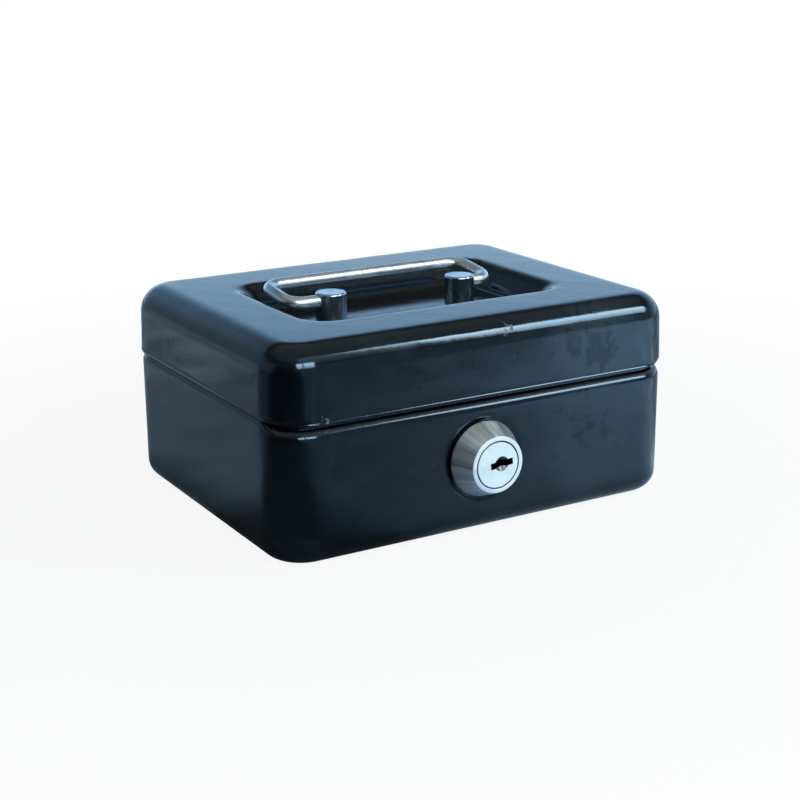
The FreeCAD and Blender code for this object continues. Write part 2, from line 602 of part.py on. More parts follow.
lid_outer = rounded_block("lid_outer", "box_length", "box_depth", "corner_radius", LID_Z, "box_height",
                          draft="lid_draft", foot="lid_edge_radius", crown="lid_top_radius")
INNER_TRIM = f"2*(sheet_gauge + sheet_gauge*{LEAN})"
lid_inner = rounded_block("lid_inner", f"box_length - {INNER_TRIM}", f"box_depth - {INNER_TRIM}",
                          "corner_radius - sheet_gauge", f"{LID_Z} + sheet_gauge", "box_height - sheet_gauge",
                          draft="lid_draft", foot="lid_edge_radius - sheet_gauge",
                          crown="lid_top_radius - sheet_gauge")
lid_mouth = rounded_block("lid_mouth", "box_length - 2*lip_width", "box_depth - 2*lip_width",
                          "corner_radius - lip_width", f"{LID_Z} - sheet_gauge", f"{LID_Z} + 2*sheet_gauge")
well = well_block("well", "0", "well_drop", "well_foot_radius")
well_skin = well_block("well_skin", WELL_SKIN, "well_drop + sheet_gauge", "well_foot_radius + sheet_gauge")
lid_hollow = cut("lid_hollow", lid_inner, well_skin)
post_bores = [rod(f"post_bore_{side}", "shank_diameter + 2*fit_gap", "base_height", "box_height", x=x)
              for side, x in (("left", "-post_spacing/2"), ("right", "post_spacing/2"))]
lid_blank = cut("lid_blank", lid_outer, lid_hollow, lid_mouth, well, *lid_notches, *lid_bores, *post_bores)
doc.recompute()
rim_x = value("well_length/2 + well_rim_radius")
rim_y = value("well_width/2 + well_rim_radius")
rim_edges = level_edges(lid_blank.Shape, value("box_height"),
                        lambda bounds: max(abs(bounds.XMin), abs(bounds.XMax)) < rim_x
                        and max(abs(bounds.YMin), abs(bounds.YMax)) < rim_y)
rim_radius = value("well_rim_radius")
lid_shell = doc.addObject("Part::Fillet", "lid_shell")
lid_shell.Base = lid_blank
lid_shell.Edges = [(number, rim_radius, rim_radius) for number in rim_edges]

# Handle posts, shouldered on the well's floor and peened over a washer below it.
PEEN_SEAT = f"({WELL_FLOOR} - sheet_gauge - 2*fit_gap - post_washer_gauge)"
PIVOT_Z = f"({WELL_FLOOR} + post_height - pivot_drop)"
posts = {}
post_rings = []
for side, sign in (("left", "-"), ("right", "")):
    x = f"{sign}post_spacing/2"
    body = doc.addObject("PartDesign::Body", f"post_head_{side}")
    head_outline = new_sketch(body, f"post_outline_{side}", "XY_Plane", f"{WELL_FLOOR} + fit_gap")
    head_outline.addGeometry([Part.Circle(Vector(0, 0, 0), Vector(0, 0, 1), value("post_diameter/2"))])
    head_outline.addConstraint(Sketcher.Constraint("Coincident", 0, 3, -1, 1))
    dimension(head_outline, "post", Sketcher.Constraint("Radius", 0, value("post_diameter/2")),
              "post_diameter/2")
    head_pad = body.newObject("PartDesign::Pad", f"post_pad_{side}")
    head_pad.Profile = head_outline
    bind(head_pad, Length="post_height - fit_gap")
    round_level(body, f"post_edge_{side}", f"{WELL_FLOOR} + post_height", "post_edge")
    place(body, x)
    peen_top = f"({PEEN_SEAT} - fit_gap)"
    shank = rod(f"post_shank_{side}", "shank_diameter", peen_top, f"{WELL_FLOOR} + 2*fit_gap", x=x)
    peen = rod(f"post_peen_{side}", "peen_diameter", f"{peen_top} - peen_height", peen_top, x=x)
    hole_ends = ["post_spacing/2 - wire_seat - wire_end_gap", "post_spacing/2 + post_diameter"]
    if sign:
        hole_ends = [f"-({end})" for end in reversed(hole_ends)]
    wire_hole = cross_rod(f"wire_hole_{side}", "wire_diameter + 2*run_gap", *hole_ends, "0", PIVOT_Z)
    posts[side] = cut(f"handle_post_{side}", fuse(f"post_blank_{side}", body, shank, peen), wire_hole)
    ring_top = f"{PEEN_SEAT} + post_washer_gauge"
    post_rings.append(cut(f"post_washer_{side}",
                          rod(f"post_washer_disc_{side}", "post_washer_diameter", PEEN_SEAT, ring_top, x=x),
                          rod(f"post_washer_bore_{side}", "shank_diameter + 2*fit_gap",
                              f"{PEEN_SEAT} - fit_gap", f"{ring_top} + fit_gap", x=x)))
post_washers = group("post_washers", *post_rings)

# Handle: one wire with its ends turned in, drawn flat with the pivot line on X.
bail_handle = doc.addObject("PartDesign::Body", "bail_handle")
wire_path = new_sketch(bail_handle, "wire_path", "XY_Plane")
tip_x = value("post_spacing/2 - wire_seat")
arm_x = value("handle_span/2")
reach = value("handle_reach")
bend = value("handle_bend")
wire_path.addGeometry([
    line(-tip_x, 0, bend - arm_x, 0),
    arc(bend - arm_x, bend, bend, 180, 270),
    line(-arm_x, bend, -arm_x, reach - bend),
    arc(bend - arm_x, reach - bend, bend, 90, 180),
    line(bend - arm_x, reach, arm_x - bend, reach),
    arc(arm_x - bend, reach - bend, bend, 0, 90),
    line(arm_x, reach - bend, arm_x, bend),
    arc(arm_x - bend, bend, bend, 270, 360),
    line(arm_x - bend, 0, tip_x, 0),
])
for bend_edge in (1, 3, 5, 7):
    wire_path.addConstraint(Sketcher.Constraint("Tangent", bend_edge - 1, 2, bend_edge, 2))
    wire_path.addConstraint(Sketcher.Constraint("Tangent", bend_edge, 1, bend_edge + 1, 1))
for edge in (0, 4, 8):
    wire_path.addConstraint(Sketcher.Constraint("Horizontal", edge))
for edge in (2, 6):
    wire_path.addConstraint(Sketcher.Constraint("Vertical", edge))
for edge in (3, 5, 7):
    wire_path.addConstraint(Sketcher.Constraint("Equal", 1, edge))
wire_path.addConstraint(Sketcher.Constraint("Symmetric", 0, 1, 8, 2, -2))
wire_path.addConstraint(Sketcher.Constraint("PointOnObject", 0, 1, -1))
dimension(wire_path, "tips", Sketcher.Constraint("DistanceX", 0, 1, 8, 2, 2 * tip_x),
          "post_spacing - 2*wire_seat")
dimension(wire_path, "left_arm", Sketcher.Constraint("DistanceX", 2, 1, -1, 1, arm_x), "handle_span/2")
dimension(wire_path, "right_arm", Sketcher.Constraint("DistanceX", -1, 1, 6, 2, arm_x), "handle_span/2")
dimension(wire_path, "grip", Sketcher.Constraint("DistanceY", -1, 1, 4, 1, reach), "handle_reach")
dimension(wire_path, "bend", Sketcher.Constraint("Radius", 1, bend), "handle_bend")
wire_section = new_sketch(bail_handle, "wire_section", "YZ_Plane", "wire_seat - post_spacing/2")
wire_section.addGeometry([Part.Circle(Vector(0, 0, 0), Vector(0, 0, 1), value("wire_diameter/2"))])
wire_section.addConstraint(Sketcher.Constraint("Coincident", 0, 3, -1, 1))
dimension(wire_section, "wire", Sketcher.Constraint("Radius", 0, value("wire_diameter/2")), "wire_diameter/2")
doc.recompute()
wire = bail_handle.newObject("PartDesign::AdditivePipe", "wire")
wire.Profile = wire_section
wire.Spine = (wire_path, [f"Edge{number}" for number in range(1, 10)])
place(bail_handle, "handle_shift", z=PIVOT_Z, turn_x="handle_tilt")

# Catch: a strip welded inside the lid's front wall. It reaches over the neck and
# down behind the cam, and its foot turns forward as a ledge under the locked cam.
WEB_Z = f"({NECK_TOP} + neck_clear)"
FLANGE_Y = f"((box_depth/2 - sheet_gauge)*(-1) + ({WEB_Z} - {LID_Z})*{LEAN} + fit_gap/cos(lid_draft*1deg))"
STRAP_Y = f"({CAM_BACK_Y} + catch_clear)"
LEDGE_TOP = "(lock_height - cam_width/2 - latch_gap)"
catch_middle = "(lock_offset + catch_offset)"
strap_x = (f"({catch_middle} - catch_width/2)", f"({catch_middle} + catch_width/2)")
flange_x = (f"({catch_middle} - catch_flange_width/2)", f"({catch_middle} + catch_flange_width/2)")
lid_catch = fuse(
    "lid_catch",
    box("catch_flange", flange_x, (FLANGE_Y, f"({FLANGE_Y} + catch_gauge)"),
        (WEB_Z, f"({LID_WALL_TOP} - catch_flange_gap)"), "-lid_draft"),
    box("catch_web", strap_x, (f"{FLANGE_Y} + catch_gauge/2", f"{STRAP_Y} + catch_gauge"),
        (WEB_Z, f"{WEB_Z} + catch_gauge")),
    box("catch_strap", strap_x, (STRAP_Y, f"{STRAP_Y} + catch_gauge"),
        (f"{LEDGE_TOP} - catch_gauge", f"{WEB_Z} + catch_gauge")),
    box("catch_ledge", strap_x, (f"{CAM_FRONT_Y} - ledge_overlap", f"{STRAP_Y} + catch_gauge"),
        (f"{LEDGE_TOP} - catch_gauge", LEDGE_TOP)))

# Coin tray on two welded rails. A long bay runs along the front, with a row of
# coin bays behind it and a finger notch at each end.
TRAY_FRONT = f"({STRAP_Y} + catch_gauge + tray_gap)"
TRAY_REAR = f"({REAR_Y} - {MOUTH_INSET} - tray_side_gap)"
TRAY_MIDDLE = f"(({TRAY_FRONT} + {TRAY_REAR})/2)"
TRAY_LENGTH = f"({BASE_LENGTH} - 2*{MOUTH_INSET} - 2*tray_side_gap)"
TRAY_DEPTH = f"({TRAY_REAR} - {TRAY_FRONT})"
TRAY_TOP = "(base_height + tray_proud)"
TRAY_Z = f"({TRAY_TOP} - tray_height)"
TRAY_CORNER = f"({BASE_CORNER} - {MOUTH_INSET} - tray_side_gap)"
COIN_BAY_LENGTH = f"(({TRAY_LENGTH} - (coin_bays + 1)*tray_wall)/coin_bays)"
COIN_BAY_DEPTH = f"({TRAY_DEPTH} - front_bay_depth - 3*tray_wall)"
COIN_BAY_Y = f"({TRAY_REAR} - tray_wall - {COIN_BAY_DEPTH}/2)"


def bay(name, length, depth, x, y):
    """Bay with round corners and a rounded floor, open at the top."""
    body = rounded_block(name, length, depth, "bay_corner",
                         f"{TRAY_Z} + tray_wall", f"{TRAY_TOP} + tray_wall", foot="bay_floor_radius")
    return place(body, x, y)


tray_blank = place(rounded_block("tray_blank", TRAY_LENGTH, TRAY_DEPTH, TRAY_CORNER, TRAY_Z, TRAY_TOP,
                                 foot="bay_floor_radius"), y=TRAY_MIDDLE)
bays = [bay("front_bay", f"{TRAY_LENGTH} - 2*tray_wall", "front_bay_depth",
            "0", f"{TRAY_FRONT} + tray_wall + front_bay_depth/2")]
for number in range(int(value("coin_bays"))):
    bay_x = f"-{TRAY_LENGTH}/2 + tray_wall + {COIN_BAY_LENGTH}/2 + {number}*({COIN_BAY_LENGTH} + tray_wall)"
    bays.append(bay(f"coin_bay_{number}", COIN_BAY_LENGTH, COIN_BAY_DEPTH, bay_x, COIN_BAY_Y))
NOTCH_IN = f"({TRAY_LENGTH}/2 - 2*tray_wall)"
finger_notches = [
    cross_rod("finger_notch_left", "2*finger_radius", "-box_length", f"-{NOTCH_IN}", COIN_BAY_Y, TRAY_TOP),
    cross_rod("finger_notch_right", "2*finger_radius", NOTCH_IN, "box_length", COIN_BAY_Y, TRAY_TOP),
]
coin_tray = cut("coin_tray", tray_blank, *bays, *finger_notches)

RAIL_TOP = f"({TRAY_Z} - fit_gap)"
RAIL_X = f"({BASE_LENGTH}/2 - sheet_gauge - fit_gap)"
RAIL_Y = (f"({TRAY_MIDDLE} - rail_length/2)", f"({TRAY_MIDDLE} + rail_length/2)")
rails = {
    "left": fuse("tray_rail_left",
                 box("rail_leg_left", (f"-{RAIL_X}", f"rail_gauge - {RAIL_X}"), RAIL_Y,
                     (f"{RAIL_TOP} - rail_leg", RAIL_TOP)),
                 box("rail_shelf_left", (f"-{RAIL_X}", f"rail_shelf - {RAIL_X}"), RAIL_Y,
                     (f"{RAIL_TOP} - rail_gauge", RAIL_TOP))),
    "right": fuse("tray_rail_right",
                  box("rail_leg_right", (f"{RAIL_X} - rail_gauge", RAIL_X), RAIL_Y,
                      (f"{RAIL_TOP} - rail_leg", RAIL_TOP)),
                  box("rail_shelf_right", (f"{RAIL_X} - rail_shelf", RAIL_X), RAIL_Y,
                      (f"{RAIL_TOP} - rail_gauge", RAIL_TOP))),
}

NODES = (
    base_shell, lid_shell, bail_handle, post_washers, lock_housing, lock_washer, lock_nut, lock_plug,
    wafer_tumblers, lock_cam, cam_washer, cam_screw, lid_catch, base_hinge_rivets, lid_hinge_rivets,
    coin_tray,
    *posts.values(), *base_leaves.values(), *lid_leaves.values(), *hinge_pins.values(), *rails.values(),
)

doc.recompute()
for thing in doc.Objects:
    if "Invalid" in thing.State or "Error" in thing.State:
        raise RuntimeError(f"{thing.Name} did not rebuild")
for node in NODES:
    node.Label = node.Name
    if node.Shape.isNull() or not node.Shape.isValid() or not node.Shape.Solids:
        raise RuntimeError(f"{node.Label} has no valid solid")

os.makedirs("parts", exist_ok=True)
for node in NODES:
    node.Shape.exportStep(f"parts/{node.Label}.step")
    print(f"{node.Label}: {len(node.Shape.Solids)} solid(s), {node.Shape.Volume:.1f} mm3")
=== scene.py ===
import math

import bpy
import numpy as np
from mathutils import Matrix


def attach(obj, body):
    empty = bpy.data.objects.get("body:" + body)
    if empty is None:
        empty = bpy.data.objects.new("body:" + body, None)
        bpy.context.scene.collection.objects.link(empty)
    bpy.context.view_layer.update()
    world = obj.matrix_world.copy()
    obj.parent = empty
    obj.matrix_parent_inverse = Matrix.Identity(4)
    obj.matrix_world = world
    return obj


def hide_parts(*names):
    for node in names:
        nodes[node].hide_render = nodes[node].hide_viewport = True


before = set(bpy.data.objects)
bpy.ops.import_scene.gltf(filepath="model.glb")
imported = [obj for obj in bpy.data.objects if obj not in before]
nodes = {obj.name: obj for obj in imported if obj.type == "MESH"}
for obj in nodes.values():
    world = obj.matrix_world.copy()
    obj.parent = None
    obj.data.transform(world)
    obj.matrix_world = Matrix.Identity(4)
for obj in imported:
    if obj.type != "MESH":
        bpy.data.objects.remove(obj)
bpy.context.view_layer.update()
MM = 0.001

# Base pan: one pressed steel sheet with a rolled shoulder, a neck that stands up
# inside the lid, and a groove pressed round the lock. Gloss black stoving enamel
# inside and out, thin on the bends.
PAN_HALF = (75.65, 59.25)
PAN_CORNER = 14.15
PAN_FOOT_RADIUS = 6.9
PAN_SHOULDER_RADIUS = 3.0
PAN_SHOULDER_TOP = 45.2
PAN_NECK_INSET = 3.2
PAN_NECK_BEND = 0.2
PAN_NECK_TOP = 50.2
SHOULDER_START = PAN_SHOULDER_TOP - PAN_SHOULDER_RADIUS
SHOULDER_SET = (-1.25, 1.35)
SHOULDER_SET_LEVELS = (30.0, 42.2, 45.4, 50.2)
FRONT_TURN = (0.15, 0.50)
LEFT_TURN = (0.85, 1.0)
STRAIGHT_HALF = (61.5, 45.1)
SIDE_STEPS = (3.0, 3.2)
CORNER_STEPS = 14
BEND_ROWS = 12
PAN_WALL_ROWS = 70
NECK_ROWS = 5
FLOOR_SHARES = np.array([0.04, 0.25, 0.5, 0.75, 0.92])
SHEET_GAUGE = 1.0
SHEET_EASING = 0.18
HINGE_NOTCH = (26.4, 57.6)
WALL_SWELL = 0.022
PAN_SWELL_LEVELS = (5.0, 11.0, 38.0, 42.0)
LOCK_AXIS = (-2.4, -59.25, 25.1)
GROOVE_RADII = (11.4, 12.6, 12.9, 14.7)
GROOVE_DEPTH = 0.6
GROOVE_FIRST = 0.4
GROOVE_MARGIN = 3.2
GROOVE_STEP = 0.5
SHOULDER_RUB = (1.0, 44.3, 0.7)
SHOULDER_RUB_INSET = 2.9
FOOT_RUB = (0.6, 2.0, 1.6)
NECK_RUB_START = 49.6
LEDGE_INSET = (0.95, 2.0)
LEDGE_MARK = 2.0
STRAIGHT_ON = 0.999


def side_shares(half, step, marks=()):
    """Stations along a straight side as shares from -1 to 1: an even run of about
    one step, with the marked distances added on both halves. An even station within
    two fifths of a step of a mark gives way to it."""
    even = np.linspace(-half, half, 2 * int(round(half / step)) + 1)
    marks = np.asarray(marks, float)
    near = np.abs(np.abs(even)[:, None] - marks[None, :]).min(1, initial=half)
    kept = even[near > 0.4 * step]
    return np.unique(np.round(np.concatenate([kept, marks, -marks]), 6)) / half


def loop_stations(shares_x, shares_y, arc_steps):
    """Stations round a rounded rectangle, anticlockwise from the front left. Each is
    a share (kx, ky) of the straight core and an outward direction (nx, ny)."""
    quarter = np.linspace(0, np.pi / 2, arc_steps + 1)[1:-1]
    ones_x, ones_y, ones_q = np.ones_like(shares_x), np.ones_like(shares_y), np.ones_like(quarter)
    runs = [
        (shares_x, -ones_x, -ones_x * np.pi / 2), (ones_q, -ones_q, quarter - np.pi / 2),
        (ones_y, shares_y, 0 * ones_y), (ones_q, ones_q, quarter),
        (-shares_x, ones_x, ones_x * np.pi / 2), (-ones_q, ones_q, quarter + np.pi / 2),
        (-ones_y, -shares_y, ones_y * np.pi), (-ones_q, -ones_q, quarter + np.pi),
    ]
    kx, ky, bearing = (np.concatenate(part) for part in zip(*runs))
    return kx, ky, np.cos(bearing), np.sin(bearing)


def loop_rings(stations, half_x, half_y, corner, height):
    """Rings of stations, one per entry of the four arrays: a point is its share of
    the core (half - corner) plus the corner radius along its outward direction."""
    kx, ky, nx, ny = stations
    half_x, half_y, corner, height = (np.asarray(v, float)[:, None] for v in (half_x, half_y, corner, height))
    x = kx * (half_x - corner) + nx * corner
    y = ky * (half_y - corner) + ny * corner
    return np.stack([x, y, np.broadcast_to(height, x.shape)], -1)


def inset_rings(stations, half, corner, inset, height):
    """Rings that follow one rounded rectangle at growing insets from its outline."""
    inset = np.asarray(inset, float)
    return loop_rings(stations, half[0] - inset, half[1] - inset, corner - inset, height)


def fold(*parts):
    """One profile from several (inset, height) runs, with repeated joints left out."""
    inset = np.concatenate([np.atleast_1d(part[0]).astype(float) for part in parts])
    height = np.concatenate([np.atleast_1d(part[1]).astype(float) for part in parts])
    fresh = np.ones(len(inset), bool)
    fresh[1:] = np.hypot(np.diff(inset), np.diff(height)) > 1e-4
    return inset[fresh], height[fresh]


def angles(start, end, count):
    """Evenly spaced angles in radians from two limits in degrees."""
    return np.radians(np.linspace(start, end, count))


def bell(height, peak, level, spread):
    """Bell curve over the height: the peak times e to the minus squared distance from
    the level, counted in spreads."""
    return peak * np.exp(-((height - level) / spread) ** 2)


def sheet_waves(rings, strength):
    """Slow unevenness of pressed sheet: each point moves along the surface normal
    (cross product of the two grid directions) by a sum of long plane waves."""
    along = np.roll(rings, -1, 1) - np.roll(rings, 1, 1)
    across = np.gradient(rings, axis=0)
    normal = np.cross(along, across)
    normal /= np.maximum(np.linalg.norm(normal, axis=-1, keepdims=True), 1e-9)
    x, y, z = np.moveaxis(rings, -1, 0)
    swell = (np.sin(0.131 * x + 0.052 * y + 0.095 * z + 0.7) * np.sin(0.043 * x - 0.119 * y + 1.9)
             + 0.6 * np.sin(0.233 * x - 0.171 * z + 2.4) * np.sin(0.207 * y + 0.149 * z + 0.3)
             + 0.35 * np.sin(0.41 * x + 0.29 * y + 0.53 * z + 5.1))
    return rings + normal * (strength[:, None] * swell)[..., None]


def ring_mesh(name, rings, shares, caps, keep=None):
    """Mesh from a closed loop of rings: quads between neighbours, all or those where
    keep is true, and one flat face over each ring numbered in caps. Points without a
    quad are left out. The shares go into the attribute edge, which says how much a
    bend or a rim was rubbed, and on the lock how much painted shade a sunk part gets."""
    rows, columns = rings.shape[:2]
    row, column = np.meshgrid(np.arange(rows - 1), np.arange(columns), indexing="ij")
    right = (column + 1) % columns
    quads = np.stack([row * columns + column, row * columns + right,
                      (row + 1) * columns + right, (row + 1) * columns + column], -1)
    quads = quads.reshape(-1, 4) if keep is None else quads[keep]
    used = np.zeros(rows * columns, bool)
    used[quads] = True
    number = np.cumsum(used) - 1
    lids = [number[cap * columns:(cap + 1) * columns][::-1 if cap == 0 else 1].tolist() for cap in caps]
    mesh = bpy.data.meshes.new(name)
    mesh.from_pydata((rings.reshape(-1, 3)[used] * MM).tolist(), [], number[quads].tolist() + lids)
    rubbed = mesh.attributes.new("edge", "FLOAT", "POINT")
    shares = np.broadcast_to(np.reshape(shares, (rows, -1)), (rows, columns))
    rubbed.data.foreach_set("value", shares.ravel()[used].astype(np.float32))
    mesh.polygons.foreach_set("use_smooth", np.ones(len(mesh.polygons), bool))
    mesh.validate()
    piece = bpy.data.objects.new(name, mesh)
    bpy.context.scene.collection.objects.link(piece)
    return piece


def sheet_metal(piece):
    """Give a skin its sheet thickness inwards, and ease the cut edges."""
    wall = piece.modifiers.new("gauge", "SOLIDIFY")
    wall.thickness = SHEET_GAUGE * MM
    wall.offset = -1
    wall.use_even_offset = True
    eased = piece.modifiers.new("eased_edges", "BEVEL")
    eased.limit_method = "ANGLE"
    eased.angle_limit = math.radians(50)
    eased.width = SHEET_EASING * MM
    eased.segments = 2
    eased.harden_normals = False


def notch_columns(stations):
    """True for the strip after a station that lies in a hinge notch of the rear."""
    kx, ky, nx, ny = stations
    x = kx * STRAIGHT_HALF[0]
    middle = (np.abs(x) + np.abs(np.roll(x, -1))) / 2
    at_rear = (ny > STRAIGHT_ON) & (np.roll(ny, -1) > STRAIGHT_ON)
    return at_rear & (middle > HINGE_NOTCH[0]) & (middle < HINGE_NOTCH[1])


groove_marks = np.arange(GROOVE_FIRST, GROOVE_RADII[-1] + GROOVE_MARGIN, GROOVE_STEP)
end_shares = side_shares(STRAIGHT_HALF[1], SIDE_STEPS[1])
pan_shares = side_shares(STRAIGHT_HALF[0], SIDE_STEPS[0], np.concatenate([HINGE_NOTCH, groove_marks]))
pan_loop = loop_stations(pan_shares, end_shares, CORNER_STEPS)
foot = angles(90, 0, BEND_ROWS)
shoulder = angles(0, 90, BEND_ROWS)
neck_bend = angles(0, 90, 4)
pan_inset, pan_height = fold(
    (PAN_FOOT_RADIUS * (1 - np.cos(foot)), PAN_FOOT_RADIUS * (1 - np.sin(foot))),
    (np.zeros(PAN_WALL_ROWS), np.linspace(PAN_FOOT_RADIUS, SHOULDER_START, PAN_WALL_ROWS)),
    (PAN_SHOULDER_RADIUS * (1 - np.cos(shoulder)), SHOULDER_START + PAN_SHOULDER_RADIUS * np.sin(shoulder)),
    (PAN_NECK_INSET - PAN_NECK_BEND * (1 - np.sin(neck_bend)),
     PAN_SHOULDER_TOP + PAN_NECK_BEND * (1 - np.cos(neck_bend))),
    (np.full(NECK_ROWS, PAN_NECK_INSET), np.linspace(PAN_SHOULDER_TOP + PAN_NECK_BEND, PAN_NECK_TOP, NECK_ROWS)))
pan_rings = inset_rings(pan_loop, PAN_HALF, PAN_CORNER, pan_inset, pan_height)

# The shoulder sits lower along the front and higher along the left side.
to_front = np.interp(-pan_loop[3], FRONT_TURN, (0, 1))
to_left = np.interp(0.4 * np.maximum(pan_loop[3], 0) - pan_loop[2], LEFT_TURN, (0, 1))
shoulder_share = np.interp(pan_height, SHOULDER_SET_LEVELS, (0, 1, 1, 0))
pan_rings[..., 2] += shoulder_share[:, None] * (SHOULDER_SET[0] * to_front + SHOULDER_SET[1] * to_left)
pan_rings = sheet_waves(pan_rings, WALL_SWELL * np.interp(pan_height, PAN_SWELL_LEVELS, (0, 1, 1, 0)))
from_lock = np.hypot(pan_rings[..., 0] - LOCK_AXIS[0], pan_rings[..., 2] - LOCK_AXIS[2])
groove = np.interp(from_lock, GROOVE_RADII, (0, 1, 1, 0)) * (pan_loop[3] < -STRAIGHT_ON)
pan_rings[..., 1] += GROOVE_DEPTH * groove ** 2 * (3 - 2 * groove)

pan_edge = (bell(pan_height, *SHOULDER_RUB) * (pan_inset < SHOULDER_RUB_INSET)
            + bell(pan_height, *FOOT_RUB) + (pan_height > NECK_RUB_START))
on_ledge = (pan_inset > LEDGE_INSET[0]) & (pan_inset < LEDGE_INSET[1]) & (pan_height > SHOULDER_START)
pan_edge = np.maximum(pan_edge[:, None], LEDGE_MARK * on_ledge[:, None] * to_front)
floor_rows = len(FLOOR_SHARES)
floor_half = np.array(PAN_HALF) - PAN_FOOT_RADIUS
pan_floor = loop_rings(pan_loop, FLOOR_SHARES * floor_half[0], FLOOR_SHARES * floor_half[1],
                       FLOOR_SHARES * (PAN_CORNER - PAN_FOOT_RADIUS), np.zeros(floor_rows))
pan_rings = np.concatenate([pan_floor, pan_rings])
pan_edge = np.pad(pan_edge, ((floor_rows, 0), (0, 0)))
above_shoulder = np.concatenate([np.zeros(floor_rows, bool), pan_height > SHOULDER_START - 1e-6])[:-1]
pan_keep = ~(above_shoulder[:, None] & notch_columns(pan_loop)[None, :])
base_pan = ring_mesh("base_pan", pan_rings, pan_edge, [0], pan_keep)
sheet_metal(base_pan)


def fill(tree, node, values):
    """Give a node's inputs, by name or number, a number, a colour or the output of
    another node."""
    for socket, given in values.items():
        if isinstance(given, bpy.types.NodeSocket):
            tree.links.new(given, node.inputs[socket])
        else:
            node.inputs[socket].default_value = given


def put(tree, kind, values, **settings):
    """Add a node with the values of its inputs and its own settings."""
    made = tree.nodes.new(kind)
    for name, setting in settings.items():
        setattr(made, name, setting)
    fill(tree, made, values)
    return made


def new_group(name, inputs, outputs):
    """A shader node group with float or vector inputs and float outputs."""
    tree = bpy.data.node_groups.new(name, "ShaderNodeTree")
    for label, kind, start in inputs:
        socket = tree.interface.new_socket(label, in_out="INPUT", socket_type=kind)
        if start is not None:
            socket.default_value = start
    for label in outputs:
        tree.interface.new_socket(label, in_out="OUTPUT", socket_type="NodeSocketFloat")
    return tree, tree.nodes.new("NodeGroupInput").outputs, tree.nodes.new("NodeGroupOutput")


def ramp(tree, value, low, high, to_low=0.0, to_high=1.0):
    """Smooth step of a value between two limits."""
    return put(tree, "ShaderNodeMapRange", {0: value, 1: low, 2: high, 3: to_low, 4: to_high},
               interpolation_type="SMOOTHSTEP").outputs[0]


def math_node(tree, operation, first, second):
    """One operation on two numbers."""
    return put(tree, "ShaderNodeMath", {0: first, 1: second}, operation=operation).outputs[0]


def times(tree, first, second):
    """Product of two numbers."""
    return math_node(tree, "MULTIPLY", first, second)


def noise(tree, place, scale, detail, roughness=0.5, distortion=0.0):
    """Smooth noise round a half, with its scale in turns per metre."""
    return put(tree, "ShaderNodeTexNoise", {"Vector": place, "Scale": scale, "Detail": detail,
                                            "Roughness": roughness, "Distortion": distortion}).outputs["Fac"]


def bump(tree, height, strength, distance):
    """Normal of a small relief."""
    return put(tree, "ShaderNodeBump", {"Height": height, "Strength": strength, "Distance": distance}).outputs[0]


# Handling marks: soft finger smudges, fine broken scratches and specks of dust,
# shared by every finish at its own scales.
SMUDGE_LIMITS = (0.46, 0.70)
SCRATCH_LIMITS = (0.70, 0.73)
SCRATCH_BREAKS = (0.56, 0.64)
SPECK_SIZE = (0.20, 0.10)
SPECK_PICK = (0.955, 0.97)
marks_group, given, result = new_group(
    "handling_marks",
    [("Place", "NodeSocketVector", None), ("Smudge Scale", "NodeSocketFloat", 45.0),
     ("Scratch Scale", "NodeSocketFloat", 60.0), ("Speck Scale", "NodeSocketFloat", 420.0)],
    ["Smudge", "Scratch", "Speck"])
broad = noise(marks_group, given["Place"], given["Smudge Scale"], 4.0, 0.62, 0.8)
smudge = ramp(marks_group, broad, *SMUDGE_LIMITS)
scratch_axes = put(marks_group, "ShaderNodeMapping", {"Vector": given["Place"], "Rotation": (0.4, 0.95, 0.3),
                                                      "Scale": (1.0, 26.0, 26.0)}).outputs[0]
scratch_lines = noise(marks_group, scratch_axes, given["Scratch Scale"], 2.0, distortion=0.25)
breaks = noise(marks_group, given["Place"], 95.0, 1.0)
scratch = times(marks_group, ramp(marks_group, scratch_lines, *SCRATCH_LIMITS),
                ramp(marks_group, breaks, *SCRATCH_BREAKS))
cells = put(marks_group, "ShaderNodeTexVoronoi", {"Vector": given["Place"], "Scale": given["Speck Scale"]})
cell_pick = put(marks_group, "ShaderNodeSeparateColor", {0: cells.outputs["Color"]}).outputs[0]
speck = times(marks_group, ramp(marks_group, cells.outputs["Distance"], *SPECK_SIZE),
              ramp(marks_group, cell_pick, *SPECK_PICK))
fill(marks_group, result, {"Smudge": smudge, "Scratch": scratch, "Speck": speck})


def handling_marks(tree, place, smudge, scratch, speck):
    """Outputs of the marks group, placed with its three scales."""
    return put(tree, "ShaderNodeGroup", {"Place": place, "Smudge Scale": smudge, "Scratch Scale": scratch,
                                         "Speck Scale": speck}, node_tree=marks_group).outputs


def new_finish(name):
    """A material with its Principled shader and the object's own coordinates."""
    material = bpy.data.materials.new(name)
    material.use_nodes = True
    tree = material.node_tree
    shader = next(n for n in tree.nodes if n.type == "BSDF_PRINCIPLED")
    place = tree.nodes.new("ShaderNodeTexCoord").outputs["Object"]
    return material, tree, shader, place


def mixed(tree, share, first, second):
    """Colour between two colours."""
    return put(tree, "ShaderNodeMix", {0: share, 6: first, 7: second}, data_type="RGBA").outputs[2]


def blend_value(tree, share, first, second):
    """Number between two numbers."""
    return put(tree, "ShaderNodeMix", {0: share, 2: first, 3: second}).outputs[0]


def vector_math(tree, operation, *vectors, out="Value"):
    """One operation on one or two vectors, put out as a number or as a vector."""
    return put(tree, "ShaderNodeVectorMath", dict(enumerate(vectors)), operation=operation).outputs[out]
